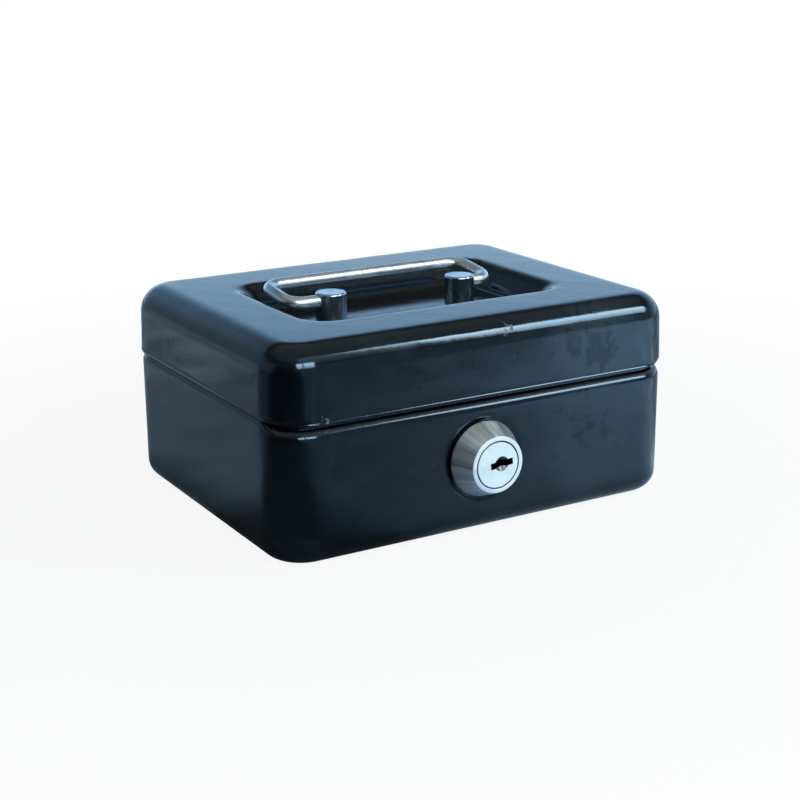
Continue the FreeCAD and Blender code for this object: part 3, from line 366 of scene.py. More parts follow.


# Stoving enamel: deep blue-black gloss with a slight orange peel, rubbed thin and
# chipped to brown primer along the bends and at two knocks, with smudges, wiped
# smears and a little dust. The smudges carry a bluish film and the wiped smears a
# bluish haze with darker blots, both partly painted reflection.
ENAMEL_DEEP = (0.0008, 0.0011, 0.0015, 1)
ENAMEL_PALE = (0.0018, 0.0023, 0.0030, 1)
ENAMEL_FILM_SHEEN = (0.0075, 0.0105, 0.0140, 1)
ENAMEL_CHIP = (0.105, 0.098, 0.092, 1)
ENAMEL_DUST = (0.20, 0.21, 0.22, 1)
ENAMEL_HAZE_SHEEN = (0.020, 0.029, 0.038, 1)
ENAMEL_TINT = (0.62, 0.82, 1.0, 1)
ENAMEL_SPECULAR = 0.80
ENAMEL_GLOSS = (0.09, 0.15)
HAZE_GLOSS = 0.16
SCRATCH_GLOSS = 0.30
LEDGE_GLOSS = 0.45
CHIP_GLOSS = 0.55
FILM_SHEEN_SHARE = 0.6
DUST_SHARE = 0.10
# A brown, duller band along the front ledge of the shoulder.
LEDGE_BROWN = (0.026, 0.0235, 0.022, 1)
LEDGE_LIMITS = (1.2, 1.9)
WORN_PATCHES = (0.50, 0.66)
CHIP_WEAR = 0.29
CHIP_LIMITS = (0.86, 0.92)
KNOCKS = (((7.0, -56.6, 66.9), 7.0), ((-60.0, -59.5, 46.6), 7.0))
KNOCK_CORE = 0.2
KNOCK_WEAR = 1.15
SMEAR_SHEENS = (((43.5, -59.0, 54.8), 11.0, 1.0), ((33.0, -59.0, 57.2), 7.0, 0.8), ((40.0, -59.2, 28.5), 13.0, 0.55))
WIPED_REACH = (1.0, 0.3)
HAZE_SHEEN_REACH = (2.2, 0.7)
BLOT_WIPED = 0.17
BLOT_LIMITS = (0.54, 0.68)
enamel, tree, shader, place = new_finish("black_enamel")
marks = handling_marks(tree, place, 38.0, 55.0, 330.0)
cloud = noise(tree, place, 24.0, 3.0)
edge = put(tree, "ShaderNodeAttribute", {}, attribute_name="edge").outputs["Fac"]
ledge = ramp(tree, edge, *LEDGE_LIMITS)
worn = times(tree, math_node(tree, "MINIMUM", edge, 1.0), ramp(tree, noise(tree, place, 60.0, 2.0), *WORN_PATCHES))
for knock, reach in KNOCKS:
    away = vector_math(tree, "DISTANCE", place, [v * MM for v in knock])
    worn = math_node(tree, "ADD", worn, ramp(tree, away, reach * MM, KNOCK_CORE * reach * MM, 0.0, KNOCK_WEAR))
nibble = noise(tree, place, 620.0, 3.0, 0.7)
chips = ramp(tree, math_node(tree, "ADD", times(tree, worn, CHIP_WEAR), nibble), *CHIP_LIMITS)
# Wiped smears: rougher, with a bluish haze that is painted reflection, broken by darker blots.
wiped = 0.0
hazy_sheen = 0.0
for smear_sheen, reach, share in SMEAR_SHEENS:
    away = vector_math(tree, "DISTANCE", place, [v * MM for v in smear_sheen])
    wipe_ends, haze_sheen_ends = ([reach * MM * part for part in ends] for ends in (WIPED_REACH, HAZE_SHEEN_REACH))
    wiped = math_node(tree, "MAXIMUM", wiped, ramp(tree, away, *wipe_ends, 0.0, share))
    hazy_sheen = math_node(tree, "MAXIMUM", hazy_sheen, ramp(tree, away, *haze_sheen_ends, 0.0, share))
blot_noise = noise(tree, place, 170.0, 5.0, 0.65, 1.2)
blot = ramp(tree, math_node(tree, "ADD", times(tree, wiped, BLOT_WIPED), blot_noise), *BLOT_LIMITS)
haze_sheen = times(tree, hazy_sheen, math_node(tree, "SUBTRACT", 1.0, blot))
# The bluish smudge film and smear haze are painted reflection laid over real smudges.
colour = mixed(tree, cloud, ENAMEL_DEEP, ENAMEL_PALE)
for share, laid in ((times(tree, marks["Smudge"], FILM_SHEEN_SHARE), ENAMEL_FILM_SHEEN),
                    (times(tree, marks["Speck"], DUST_SHARE), ENAMEL_DUST),
                    (haze_sheen, ENAMEL_HAZE_SHEEN), (ledge, LEDGE_BROWN), (chips, ENAMEL_CHIP)):
    colour = mixed(tree, share, colour, laid)
gloss = blend_value(tree, marks["Smudge"], *ENAMEL_GLOSS)
for share, dulled in ((haze_sheen, HAZE_GLOSS), (marks["Scratch"], SCRATCH_GLOSS),
                      (ledge, LEDGE_GLOSS), (chips, CHIP_GLOSS)):
    gloss = blend_value(tree, share, gloss, dulled)
peel = bump(tree, noise(tree, place, 420.0, 1.5, 0.45), 0.05, 0.0004)
mark_bump = put(tree, "ShaderNodeBump", {"Height": math_node(tree, "ADD", marks["Scratch"], chips), "Strength": 0.18,
                                         "Distance": 0.00006, "Normal": peel}, invert=True)
fill(tree, shader, {"Base Color": colour, "Roughness": gloss, "Normal": mark_bump.outputs[0],
                    "Specular IOR Level": ENAMEL_SPECULAR, "Specular Tint": ENAMEL_TINT})
base_pan.data.materials.append(enamel)
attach(base_pan, "base")
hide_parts("base_shell")


def finish_nodes(material, *names):
    """Give CAD nodes one finish in place of the plain one they came with."""
    for name in names:
        held = nodes[name].data.materials
        held.clear()
        held.append(material)


# Tray rails: two folded strips of sheet, spot-welded to the end walls and sprayed
# together with the pan.
finish_nodes(enamel, "tray_rail_left", "tray_rail_right")

# Hinges: pressed leaves with rolled knuckles, riveted inside the rear walls of pan
# and lid, with dome heads outside. Leaves and rivets were sprayed with the box.
finish_nodes(enamel, "hinge_leaf_base_left", "hinge_leaf_base_right", "hinge_leaf_lid_left", "hinge_leaf_lid_right",
             "base_hinge_rivets", "lid_hinge_rivets")

# Plain hardware: zinc-plated hinge pins, washers, nut, cam and screw, dulled in
# cloudy patches where the plating has aged.
ZINC_BRIGHT = (0.56, 0.57, 0.58, 1)
ZINC_DULL = (0.38, 0.385, 0.37, 1)
ZINC_POLISH = (0.30, 0.48)
ZINC_PATCHES = (0.35, 0.7)
zinc, tree, shader, place = new_finish("zinc_plate")
marks = handling_marks(tree, place, 160.0, 180.0, 900.0)
spangle = noise(tree, place, 260.0, 4.0, 0.6)
zinc_relief = math_node(tree, "SUBTRACT", spangle, marks["Scratch"])
fill(tree, shader, {"Base Color": mixed(tree, ramp(tree, spangle, *ZINC_PATCHES), ZINC_BRIGHT, ZINC_DULL),
                    "Roughness": blend_value(tree, marks["Smudge"], *ZINC_POLISH),
                    "Normal": bump(tree, zinc_relief, 0.12, 0.0001), "Metallic": 1.0})
finish_nodes(zinc, "hinge_pin_left", "hinge_pin_right", "lock_washer", "lock_nut", "lock_cam", "cam_washer",
             "cam_screw", "post_washers")

# Lock housing: a turned brass cone, satin chromed, with a threaded barrel that goes
# through the front wall to its washer and nut.
HEAD_FOOT_RADIUS = 12.6
HEAD_FOOT = 0.05
HEAD_FACE_RADIUS = 9.4
HEAD_LENGTH = 8.2
HEAD_LAND = 0.4
HEAD_COLUMNS = 128
FACE_BORE_RADIUS = 7.95
FACE_BORE_FLOOR = 6.15
PLUG_BORE_RADIUS = 6.56
BARREL_RADIUS = 8.0
BARREL_END = -8.5
BARREL_CHAMFER = 0.5
BARREL_PLAIN_END = -5.4
THREAD_START = -5.6
THREAD_PITCH = 0.75
THREAD_DEPTH = 0.42
EASE_STEPS = 4


def eased_profile(points, easing):
    """Open profile of straight runs with each inner corner cut back by its easing and
    rounded by a quadratic curve through the corner (weights (1-t)^2, 2t(1-t), t^2)."""
    points = np.asarray(points, float)
    t = np.linspace(0, 1, EASE_STEPS + 1)[:, None]
    made = [points[:1]]
    for before, corner, after, cut in zip(points[:-2], points[1:-1], points[2:], easing):
        back = corner + (before - corner) * min(0.45, cut / np.linalg.norm(before - corner))
        on = corner + (after - corner) * min(0.45, cut / np.linalg.norm(after - corner))
        made.append((1 - t) ** 2 * back + 2 * t * (1 - t) * corner + t ** 2 * on)
    return np.concatenate([*made, points[-1:]])


def lathe_rings(profile, axis, columns):
    """Rings of a turned piece whose axis points to the front: each profile point
    (radius, height) becomes a circle round the axis, height counted towards -Y."""
    turn = np.linspace(0, 2 * np.pi, columns, endpoint=False)
    radius, height = profile[:, 0:1], profile[:, 1:2]
    x = axis[0] + radius * np.cos(turn)
    z = axis[2] + radius * np.sin(turn)
    return np.stack([x, np.broadcast_to(axis[1] - height, x.shape), z], -1)


def turned_map(piece, rows, columns):
    """Map of a lathe piece: the first share runs round the axis, the second along
    the profile, counted at the four corners of every quad."""
    row, column = np.divmod(np.arange((rows - 1) * columns), columns)
    across = np.stack([column, column + 1, column + 1, column], -1) / columns
    along = np.stack([row, row, row + 1, row + 1], -1) / (rows - 1)
    piece.data.uv_layers.new(name="turned").data.foreach_set("uv", np.stack([across, along], -1).ravel())


thread_height = np.arange(THREAD_START, BARREL_END + 0.4, -THREAD_PITCH / 2)
thread_radius = BARREL_RADIUS - THREAD_DEPTH * (np.arange(len(thread_height)) % 2)
head_points = [
    (PLUG_BORE_RADIUS, BARREL_END), (PLUG_BORE_RADIUS, FACE_BORE_FLOOR), (FACE_BORE_RADIUS, FACE_BORE_FLOOR),
    (FACE_BORE_RADIUS, HEAD_LENGTH), (HEAD_FACE_RADIUS, HEAD_LENGTH), (HEAD_FOOT_RADIUS, HEAD_LAND),
    (HEAD_FOOT_RADIUS, HEAD_FOOT), (BARREL_RADIUS, HEAD_FOOT), (BARREL_RADIUS, BARREL_PLAIN_END)]
head_easing = (0.1, 0.1, 0.3, 0.45, 0.4, 0.15, 0.1)
head_profile = np.concatenate([
    eased_profile(head_points, head_easing), np.stack([thread_radius, thread_height], -1),
    [(BARREL_RADIUS - BARREL_CHAMFER, BARREL_END), (PLUG_BORE_RADIUS, BARREL_END)]])
head_rings = lathe_rings(head_profile, LOCK_AXIS, HEAD_COLUMNS)
# Painted shade: every ring narrower than the face's bore is painted near black.
in_bore = (head_profile[:, 0] < FACE_BORE_RADIUS + 0.04).astype(float)
lock_head = ring_mesh("lock_head", head_rings, in_bore, [])
lock_head.modifiers.new("closed_seam", "WELD").merge_threshold = 1e-6
turned_map(lock_head, len(head_rings), HEAD_COLUMNS)

CHROME_CONE = (0.68, 0.68, 0.66, 1)
# The face's bluish white is painted reflection of a pale cool sky.
CHROME_FACE_SKY_TINT = (0.88, 0.96, 1.0, 1)
CHROME_GREY = (0.40, 0.40, 0.40, 1)
CHROME_PAINTED_SHADE = (0.15, 0.15, 0.15, 1)
RECESS_PAINTED_BLACK = (0.012, 0.012, 0.012, 1)
# Painted reflection on the cone: a bluish lower left, lighter and darker sectors and one dark line.
CONE_PAINTED_BLUE = (0.58, 0.70, 0.82, 1)
CONE_POLISH = (0.30, 0.36)
FACE_POLISH = 0.42
CONE_METAL = 0.8
FACE_METAL = 0.10
FACE_STARTS = (-7.9 * MM, -8.1 * MM)
GREY_PATCHES = (0.45, 0.80)
GREY_SHARE = 0.2
SECTOR_SHADE = (0.30, 0.70, 0.78, 1.12)
DARK_LINE_BAND = (0.495, 0.004)
DARK_LINE_SHADE = 0.45
BLUE_START = (0.490, 0.505)
BLUE_END = (0.80, 0.70)
BLUE_SHARE = 0.8


def lathe_finish(name):
    """Nickel-chrome over lathe lines: the cone keeps the lines, and the face, which
    starts at its own depth, is pearl satin in a bluish white that is painted
    reflection. Painted shade greys the countersink and blackens the key slot, the
    bore and the plug behind its face. The base colour is left to the caller."""
    finish, tree, shader, place = new_finish(name)
    marks = handling_marks(tree, place, 190.0, 150.0, 800.0)
    centred = put(tree, "ShaderNodeMapping", {"Vector": place, "Location": [-v * MM for v in LOCK_AXIS]})
    parts = put(tree, "ShaderNodeSeparateXYZ", {0: centred.outputs[0]}).outputs
    off_axis = put(tree, "ShaderNodeCombineXYZ", {0: parts[0], 2: parts[2]})
    radius = vector_math(tree, "LENGTH", off_axis.outputs[0])
    on_face = ramp(tree, parts[1], *FACE_STARTS)
    ring_place = put(tree, "ShaderNodeCombineXYZ", {0: radius, 1: parts[1]}).outputs[0]
    grey = times(tree, ramp(tree, noise(tree, place, 150.0, 3.0), *GREY_PATCHES), GREY_SHARE)
    sunk = put(tree, "ShaderNodeAttribute", {}, attribute_name="edge").outputs["Fac"]
    colour = mixed(tree, grey, mixed(tree, on_face, CHROME_CONE, CHROME_FACE_SKY_TINT), CHROME_GREY)
    colour = mixed(tree, ramp(tree, sunk, 0.0, 0.5), colour, CHROME_PAINTED_SHADE)
    colour = mixed(tree, ramp(tree, sunk, 0.5, 1.0), colour, RECESS_PAINTED_BLACK)
    polish = blend_value(tree, marks["Smudge"], *CONE_POLISH)
    relief = math_node(tree, "ADD", noise(tree, ring_place, 2600.0, 2.0),
                       times(tree, noise(tree, place, 2400.0, 2.0), on_face))
    fill(tree, shader, {"Roughness": blend_value(tree, on_face, polish, FACE_POLISH),
                        "Metallic": blend_value(tree, on_face, CONE_METAL, FACE_METAL),
                        "Normal": bump(tree, relief, 0.05, 0.00006)})
    return finish, tree, shader, colour, on_face


# The cone alone has painted reflection in its colour: lighter and darker sectors
# along its slope, one dark line and a bluish lower left.
turned, tree, shader, colour, on_face = lathe_finish("turned_chrome")
round_share = put(tree, "ShaderNodeSeparateXYZ", {
    0: put(tree, "ShaderNodeUVMap", {}, uv_map="turned").outputs[0]}).outputs[0]
sector_noise = put(tree, "ShaderNodeTexNoise", {"W": round_share, "Scale": 30.0, "Detail": 3.0}, noise_dimensions="1D")
dark_line = put(tree, "ShaderNodeMath", {0: round_share, 1: DARK_LINE_BAND[0], 2: DARK_LINE_BAND[1]}, operation="COMPARE")
dark_line_factor = math_node(tree, "SUBTRACT", 1.0, times(tree, dark_line.outputs[0], DARK_LINE_SHADE))
sector_shade = times(tree, ramp(tree, sector_noise.outputs[0], *SECTOR_SHADE), dark_line_factor)
blue_share = times(tree, ramp(tree, round_share, *BLUE_START), ramp(tree, round_share, *BLUE_END))
colour = mixed(tree, times(tree, blue_share, BLUE_SHARE), colour, CONE_PAINTED_BLUE)
sector_shaded = put(tree, "ShaderNodeVectorMath", {0: colour, "Scale": sector_shade}, operation="SCALE").outputs[0]
lathe_way = put(tree, "ShaderNodeTangent", {}, direction_type="UV_MAP", uv_map="turned").outputs[0]
fill(tree, shader, {"Base Color": mixed(tree, on_face, sector_shaded, colour), "Tangent": lathe_way,
                    "Anisotropic": 0.85, "Anisotropic Rotation": 0.25})
lock_head.data.materials.append(turned)
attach(lock_head, "base")
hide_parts("lock_housing")

# Lock plug: the turning core, satin chromed, with a key slot under a round
# countersink in its face and a square tail for the cam.
PLUG_FACE_RADIUS = 7.55
PLUG_FACE_EASE = 0.25
PLUG_FLANGE_BACK = 6.2
PLUG_RADIUS = 6.5
PLUG_BACK_RADIUS = 4.0
KEY_SLOT_HALF = (4.1, 1.05)
KEY_SLOT_MIDDLE = (1.45, 0.0)
KEY_SLOT_TURN = math.radians(5.5)
KEY_SLOT_FLOOR = -3.8
KEY_SLOT_LEVELS = (KEY_SLOT_FLOOR + 0.05, 0.0, 5.0)
SLOT_LIP = 0.06
SLOT_LIP_DROP = 0.07
DIMPLE_RADIUS = 2.6
DIMPLE_DEPTH = 2.3
DIMPLE_MARGIN = 0.12
DIMPLE_ROWS = 9
FACE_ROWS = 14
TAIL_HALF = 2.5
TAIL_END = -10.25
TAIL_ROWS = ((1.0, BARREL_END), (1.0, TAIL_END + 0.2), (0.96, TAIL_END), (0.1, TAIL_END))


def ray_outline(turn, half_x, half_y):
    """Points where rays at the given angles leave a centred rectangle."""
    reach = np.minimum(half_x / np.maximum(np.abs(np.cos(turn)), 1e-9),
                       half_y / np.maximum(np.abs(np.sin(turn)), 1e-9))
    return np.stack([reach * np.cos(turn), reach * np.sin(turn)], -1)


def plug_turns():
    """Angles round the plug: an even set, the four corners of the tail, and angles
    spread along the slot's long sides so that no slot edge is coarse."""
    even = np.linspace(0, 2 * np.pi, 96, endpoint=False)
    along = np.linspace(-KEY_SLOT_HALF[0], KEY_SLOT_HALF[0], 23)
    long_side = np.arctan2(KEY_SLOT_HALF[1], along)
    corner = np.pi / 4 + np.arange(4) * np.pi / 2
    turns = np.concatenate([even, long_side, long_side + np.pi, corner])
    return np.unique(np.round(turns % (2 * np.pi), 4))


def countersink(plan):
    """Height lost to the conical countersink at points counted from the slot's middle."""
    return DIMPLE_DEPTH * np.clip(1 - np.linalg.norm(plan, axis=-1) / DIMPLE_RADIUS, 0, 1)


def slot_rows(start, end, shares):
    """Rings between two outlines round the key slot, sunk where the countersink is."""
    made = [start * (1 - share) + end * share for share in shares]
    return [(plan + KEY_SLOT_MIDDLE, HEAD_LENGTH - countersink(plan)) for plan in made]


def level_row(plan, height):
    """A ring of one height."""
    return plan, np.full(len(plan), height)


plug_turn = plug_turns()
round_out = np.stack([np.cos(plug_turn), np.sin(plug_turn)], -1)
slot_out = ray_outline(plug_turn, *KEY_SLOT_HALF)
tail_out = ray_outline(plug_turn, TAIL_HALF, TAIL_HALF)
slot_reach = np.linalg.norm(slot_out, axis=-1, keepdims=True)
slot_lip = slot_out * (1 + SLOT_LIP / slot_reach)
dimple_rim = round_out * np.maximum(DIMPLE_RADIUS, slot_reach + DIMPLE_MARGIN)
face_rim = round_out * (PLUG_FACE_RADIUS - PLUG_FACE_EASE) - KEY_SLOT_MIDDLE
plug_rows = [level_row(slot_out * share + KEY_SLOT_MIDDLE, KEY_SLOT_FLOOR) for share in (0.1, 0.98)]
plug_rows += [level_row(slot_out + KEY_SLOT_MIDDLE, level) for level in KEY_SLOT_LEVELS]
plug_rows += [(slot_out + KEY_SLOT_MIDDLE, HEAD_LENGTH - countersink(slot_out) - SLOT_LIP_DROP)]
slot_end = len(plug_rows)
plug_rows += slot_rows(slot_lip, dimple_rim, np.linspace(0, 1, DIMPLE_ROWS))
dimple_end = len(plug_rows) - 1
plug_rows += slot_rows(dimple_rim, face_rim, np.linspace(0, 1, FACE_ROWS)[1:] ** 1.3)
face_end = len(plug_rows) + EASE_STEPS + 1
plug_side = eased_profile([(PLUG_FACE_RADIUS - PLUG_FACE_EASE, HEAD_LENGTH), (PLUG_FACE_RADIUS, HEAD_LENGTH),
                           (PLUG_FACE_RADIUS, PLUG_FLANGE_BACK), (PLUG_RADIUS, PLUG_FLANGE_BACK),
                           (PLUG_RADIUS, BARREL_END), (PLUG_BACK_RADIUS, BARREL_END)], (0.2, 0.15, 0.1, 0.15))[1:]
plug_rows += [level_row(round_out * radius, height) for radius, height in plug_side]
turned_end = len(plug_rows)
plug_rows += [level_row(tail_out * share, level) for share, level in TAIL_ROWS]
plug_plan, plug_height = (np.stack(part) for part in zip(*plug_rows))
slot_axes = np.array([(math.cos(KEY_SLOT_TURN), math.sin(KEY_SLOT_TURN)),
                      (-math.sin(KEY_SLOT_TURN), math.cos(KEY_SLOT_TURN))])
plug_plan[:turned_end] = plug_plan[:turned_end] @ slot_axes
plug_rings = np.stack([LOCK_AXIS[0] + plug_plan[..., 0], LOCK_AXIS[1] - plug_height,
                       LOCK_AXIS[2] + plug_plan[..., 1]], -1)
# Painted shade: grey in the countersink, near black in the key slot and on the plug behind its face.
core_painted_shade = np.zeros(len(plug_rings))
core_painted_shade[:dimple_end] = 0.5
core_painted_shade[:slot_end] = 1.0
core_painted_shade[face_end:] = 1.0
lock_core = ring_mesh("lock_core", plug_rings, core_painted_shade, [0, len(plug_rings) - 1])
lock_core.data.set_sharp_from_angle(angle=math.radians(38))
satin, tree, shader, colour, on_face = lathe_finish("satin_chrome")
fill(tree, shader, {"Base Color": colour})
lock_core.data.materials.append(satin)
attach(lock_core, "lock_cylinder")
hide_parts("lock_plug")

# Tumbler plates: brass stamped from strip and tarnished in patches, stacked in the
# plug, where they are seen only down the key slot.
BRASS_BRIGHT = (0.72, 0.52, 0.24, 1)
BRASS_BROWN = (0.36, 0.23, 0.10, 1)
BRASS_POLISH = (0.3, 0.8, 0.28, 0.5)
BRASS_PATCHES = (0.45, 0.75)
brass, tree, shader, place = new_finish("tumbler_brass")
tarnish = noise(tree, place, 420.0, 4.0)
fill(tree, shader, {"Base Color": mixed(tree, ramp(tree, tarnish, *BRASS_PATCHES), BRASS_BRIGHT, BRASS_BROWN),
                    "Roughness": ramp(tree, tarnish, *BRASS_POLISH),
                    "Normal": bump(tree, tarnish, 0.1, 0.0001), "Metallic": 1.0})
finish_nodes(brass, "wafer_tumblers")

# Lid: pressed from the same sheet, with leaning walls, a turned-in lip and a sunk
# well for the handle. Enamelled like the pan.
LID_HALF = (76.0, 59.6)
LID_CORNER = 14.5
LID_EDGE = 45.6
LID_TOP = 70.2
LID_LEAN = math.tan(math.radians(1.86))
LID_TOP_RADIUS = 8.8
LID_CURL_RADIUS = 2.2
LID_LIP = 1.2
LID_LOW_INSET = 1.3
LID_FINE_RISE = 1.8
LID_FINE_ROWS = 10
LID_WALL_ROWS = 12
LID_TOP_ROWS = 9
CURL_ROWS = 16
CROWN_ROWS = 18
NOTCH_TOP = 47.7
WELL_HALF = (48.5, 30.5)
WELL_CORNER = 10.0
WELL_FLOOR = 62.2
WELL_RIM_BEND = 5.5
WELL_RIM_ROWS = 12
WELL_FOOT_BEND = 3.0
WELL_FOOT_ROWS = 8
WELL_PITCH = 53.1
WELL_SLOPE_ROWS = 6
WELL_FLOOR_SHARES = np.array([0.93, 0.75, 0.5, 0.25, 0.04])
TOP_SWELL = 0.012
LID_SWELL_LEVELS = (50.0, 55.0)
LID_BEAD = (0.87, 46.1, 0.45)
LID_CREASE = (0.22, 47.8, 0.45)
BEAD_TURN = (0.75, 1.0)
CROWN_RUB = (0.6, 67.2, 1.5)
CROWN_RUB_INSET = 0.5
LIP_RUB = (0.8, 46.2, 0.7)
WELL_RUB = (0.5, 69.7, 0.6)

# The last row but one of the curl lies level with the top of the hinge notches.
curl = angles(-math.degrees(math.acos(1 - LID_LIP / LID_CURL_RADIUS)), 0, CURL_ROWS)
curl[-2] = math.asin((NOTCH_TOP - LID_EDGE) / LID_CURL_RADIUS - 1)
crown = angles(0, 90, CROWN_ROWS)
wall_low = LID_EDGE + LID_CURL_RADIUS
wall_fine = wall_low + LID_FINE_RISE
wall_high = LID_TOP - LID_TOP_RADIUS
lid_inset, lid_height = fold(
    (LID_CURL_RADIUS * (1 - np.cos(curl)), wall_low + LID_CURL_RADIUS * np.sin(curl)),
    (np.zeros(LID_FINE_ROWS), np.linspace(wall_low, wall_fine, LID_FINE_ROWS)),
    (np.zeros(LID_WALL_ROWS), np.linspace(wall_fine, wall_high, LID_WALL_ROWS)),
    (LID_TOP_RADIUS * (1 - np.cos(crown)), wall_high + LID_TOP_RADIUS * np.sin(crown)))
lean = (lid_height - LID_EDGE) * LID_LEAN
lid_loop = loop_stations(side_shares(STRAIGHT_HALF[0], SIDE_STEPS[0], HINGE_NOTCH), end_shares, CORNER_STEPS)
lid_wall = inset_rings(lid_loop, LID_HALF, LID_CORNER, lid_inset + lean, lid_height)
for bulge, axis in ((LID_BEAD, 1), (LID_CREASE, 0)):
    swelled = bell(lid_height, *bulge) * (lid_inset < LID_LOW_INSET)
    lid_wall[..., axis] -= swelled[:, None] * np.interp(-lid_loop[2 + axis], BEAD_TURN, (0, 1))

half_pitch = math.tan(math.radians(WELL_PITCH / 2))
well_run = (LID_TOP - WELL_FLOOR) / math.tan(math.radians(WELL_PITCH))
rim = angles(0, WELL_PITCH, WELL_RIM_ROWS)
foot_bend = angles(WELL_PITCH, 0, WELL_FOOT_ROWS)
rim_inset = WELL_RIM_BEND * (np.sin(rim) - half_pitch)
rim_height = LID_TOP - WELL_RIM_BEND * (1 - np.cos(rim))
foot_inset = well_run + WELL_FOOT_BEND * (half_pitch - np.sin(foot_bend))
foot_height = WELL_FLOOR + WELL_FOOT_BEND * (1 - np.cos(foot_bend))
slope_share = np.linspace(0, 1, WELL_SLOPE_ROWS)
well_inset, well_height = fold(
    (rim_inset, rim_height),
    (rim_inset[-1] + slope_share * (foot_inset[0] - rim_inset[-1]),
     rim_height[-1] + slope_share * (foot_height[0] - rim_height[-1])),
    (foot_inset, foot_height))
well_rings = inset_rings(lid_loop, WELL_HALF, WELL_CORNER, well_inset, well_height)
top_share = np.linspace(0, 1, LID_TOP_ROWS)[1:-1, None, None]
top_rings = lid_wall[-1] * (1 - top_share) + well_rings[0] * top_share
well_floor_half = np.array(WELL_HALF) - well_inset[-1]
floor_rings = loop_rings(lid_loop, WELL_FLOOR_SHARES * well_floor_half[0], WELL_FLOOR_SHARES * well_floor_half[1],
                         WELL_FLOOR_SHARES * (WELL_CORNER - well_inset[-1]),
                         np.full(len(WELL_FLOOR_SHARES), WELL_FLOOR))
lid_rings = np.concatenate([lid_wall, top_rings, well_rings, floor_rings])
lid_rows = len(lid_rings)
no_well = np.zeros(len(well_rings))
no_floor = np.zeros(len(floor_rings))
wall_swell = WALL_SWELL * np.interp(lid_height, LID_SWELL_LEVELS, (0, 1))
lid_swell = np.concatenate([wall_swell, np.full(len(top_rings), TOP_SWELL), no_well, no_floor])
lid_rings = sheet_waves(lid_rings, lid_swell)
wall_edge = bell(lid_height, *CROWN_RUB) * (lid_inset > CROWN_RUB_INSET) + bell(lid_height, *LIP_RUB)
well_edge = bell(well_height, *WELL_RUB)
lid_edge = np.concatenate([wall_edge, np.zeros(len(top_rings)), well_edge, no_floor])
below_notch = np.zeros(lid_rows - 1, bool)
below_notch[:len(lid_height)] = lid_height < NOTCH_TOP - 1e-6
lid_keep = ~(below_notch[:, None] & notch_columns(lid_loop)[None, :])
lid_pan = ring_mesh("lid_pan", lid_rings, lid_edge, [lid_rows - 1], lid_keep)
sheet_metal(lid_pan)
lid_pan.data.materials.append(enamel)
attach(lid_pan, "lid")
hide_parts("lid_shell")

# Handle posts: turned steel studs, chromed, shouldered on the well's floor and
# peened over below. Their bluish tint is painted reflection of a cool sky.
POST_BRIGHT_SKY_TINT = (0.50, 0.58, 0.66, 1)
POST_SMOKE_SKY_TINT = (0.32, 0.39, 0.46, 1)
POST_POLISH = (0.20, 0.28)
PLATE_BLOOM = (0.45, 0.8)
PLATE_SCRATCH = 0.35


def plated_finish(name, bright, smoke, polish):
    """Chrome plate with a smoky bloom, finger smudges and a faint ripple."""
    finish, tree, shader, place = new_finish(name)
    marks = handling_marks(tree, place, 120.0, 130.0, 700.0)
    bloom = ramp(tree, noise(tree, place, 180.0, 3.0), *PLATE_BLOOM)
    handled = blend_value(tree, marks["Smudge"], *polish)
    relief = math_node(tree, "SUBTRACT", noise(tree, place, 700.0, 2.0), marks["Scratch"])
    fill(tree, shader, {"Base Color": mixed(tree, bloom, bright, smoke),
                        "Roughness": blend_value(tree, marks["Scratch"], handled, PLATE_SCRATCH),
                        "Normal": bump(tree, relief, 0.012, 0.0001), "Metallic": 1.0})
    return finish


post_chrome = plated_finish("post_chrome", POST_BRIGHT_SKY_TINT, POST_SMOKE_SKY_TINT, POST_POLISH)
finish_nodes(post_chrome, "handle_post_left", "handle_post_right")

# Bail: one drawn steel wire bent round at four corners, its ends sprung into the
# posts, plated with them and dulled by the hand.
WIRE_BRIGHT = (0.84, 0.88, 0.90, 1)
WIRE_SMOKE = (0.60, 0.66, 0.70, 1)
WIRE_POLISH = (0.32, 0.40)
WIRE_RADIUS = 2.25
WIRE_TIP_EASE = np.array([0.4, 0.12, 0.12, 0.4])
WIRE_COLUMNS = 40
BAIL_PIVOT = (-1.3, 0.0, 68.8)
BAIL_TIP = 23.7
BAIL_TIP_STEPS = np.array([0.0, 0.15, 0.5, 4.0])
BAIL_ARM = 39.5
BAIL_REACH = 20.7
BAIL_BEND = 6.0
BAIL_BEND_ROWS = 15
BAIL_GRIP_START = -30.0
BAIL_GRIP_ROWS = 8
BAIL_TILT = math.radians(7.1)


def bail_line():
    """Wire centre in its own plane and the way it runs, from the left tip round to the
    right: straights joined by quarter circles, and the right half mirrors the left."""
    quarter = angles(0, 90, BAIL_BEND_ROWS)
    ends = np.stack([-BAIL_TIP - BAIL_TIP_STEPS, np.zeros(len(BAIL_TIP_STEPS))], -1)
    low = np.stack([-BAIL_ARM + BAIL_BEND * (1 - np.sin(quarter)), BAIL_BEND * (1 - np.cos(quarter))], -1)
    high = np.stack([-BAIL_ARM + BAIL_BEND * (1 - np.cos(quarter)),
                     BAIL_REACH - BAIL_BEND * (1 - np.sin(quarter))], -1)
    grip = np.stack([np.linspace(BAIL_GRIP_START, 0, BAIL_GRIP_ROWS), np.full(BAIL_GRIP_ROWS, BAIL_REACH)], -1)
    half = np.concatenate([ends, low, high, grip])
    line = np.concatenate([half, (half * (-1, 1))[-2::-1]])
    way = np.gradient(line, axis=0)
    return line, way / np.linalg.norm(way, axis=-1, keepdims=True)


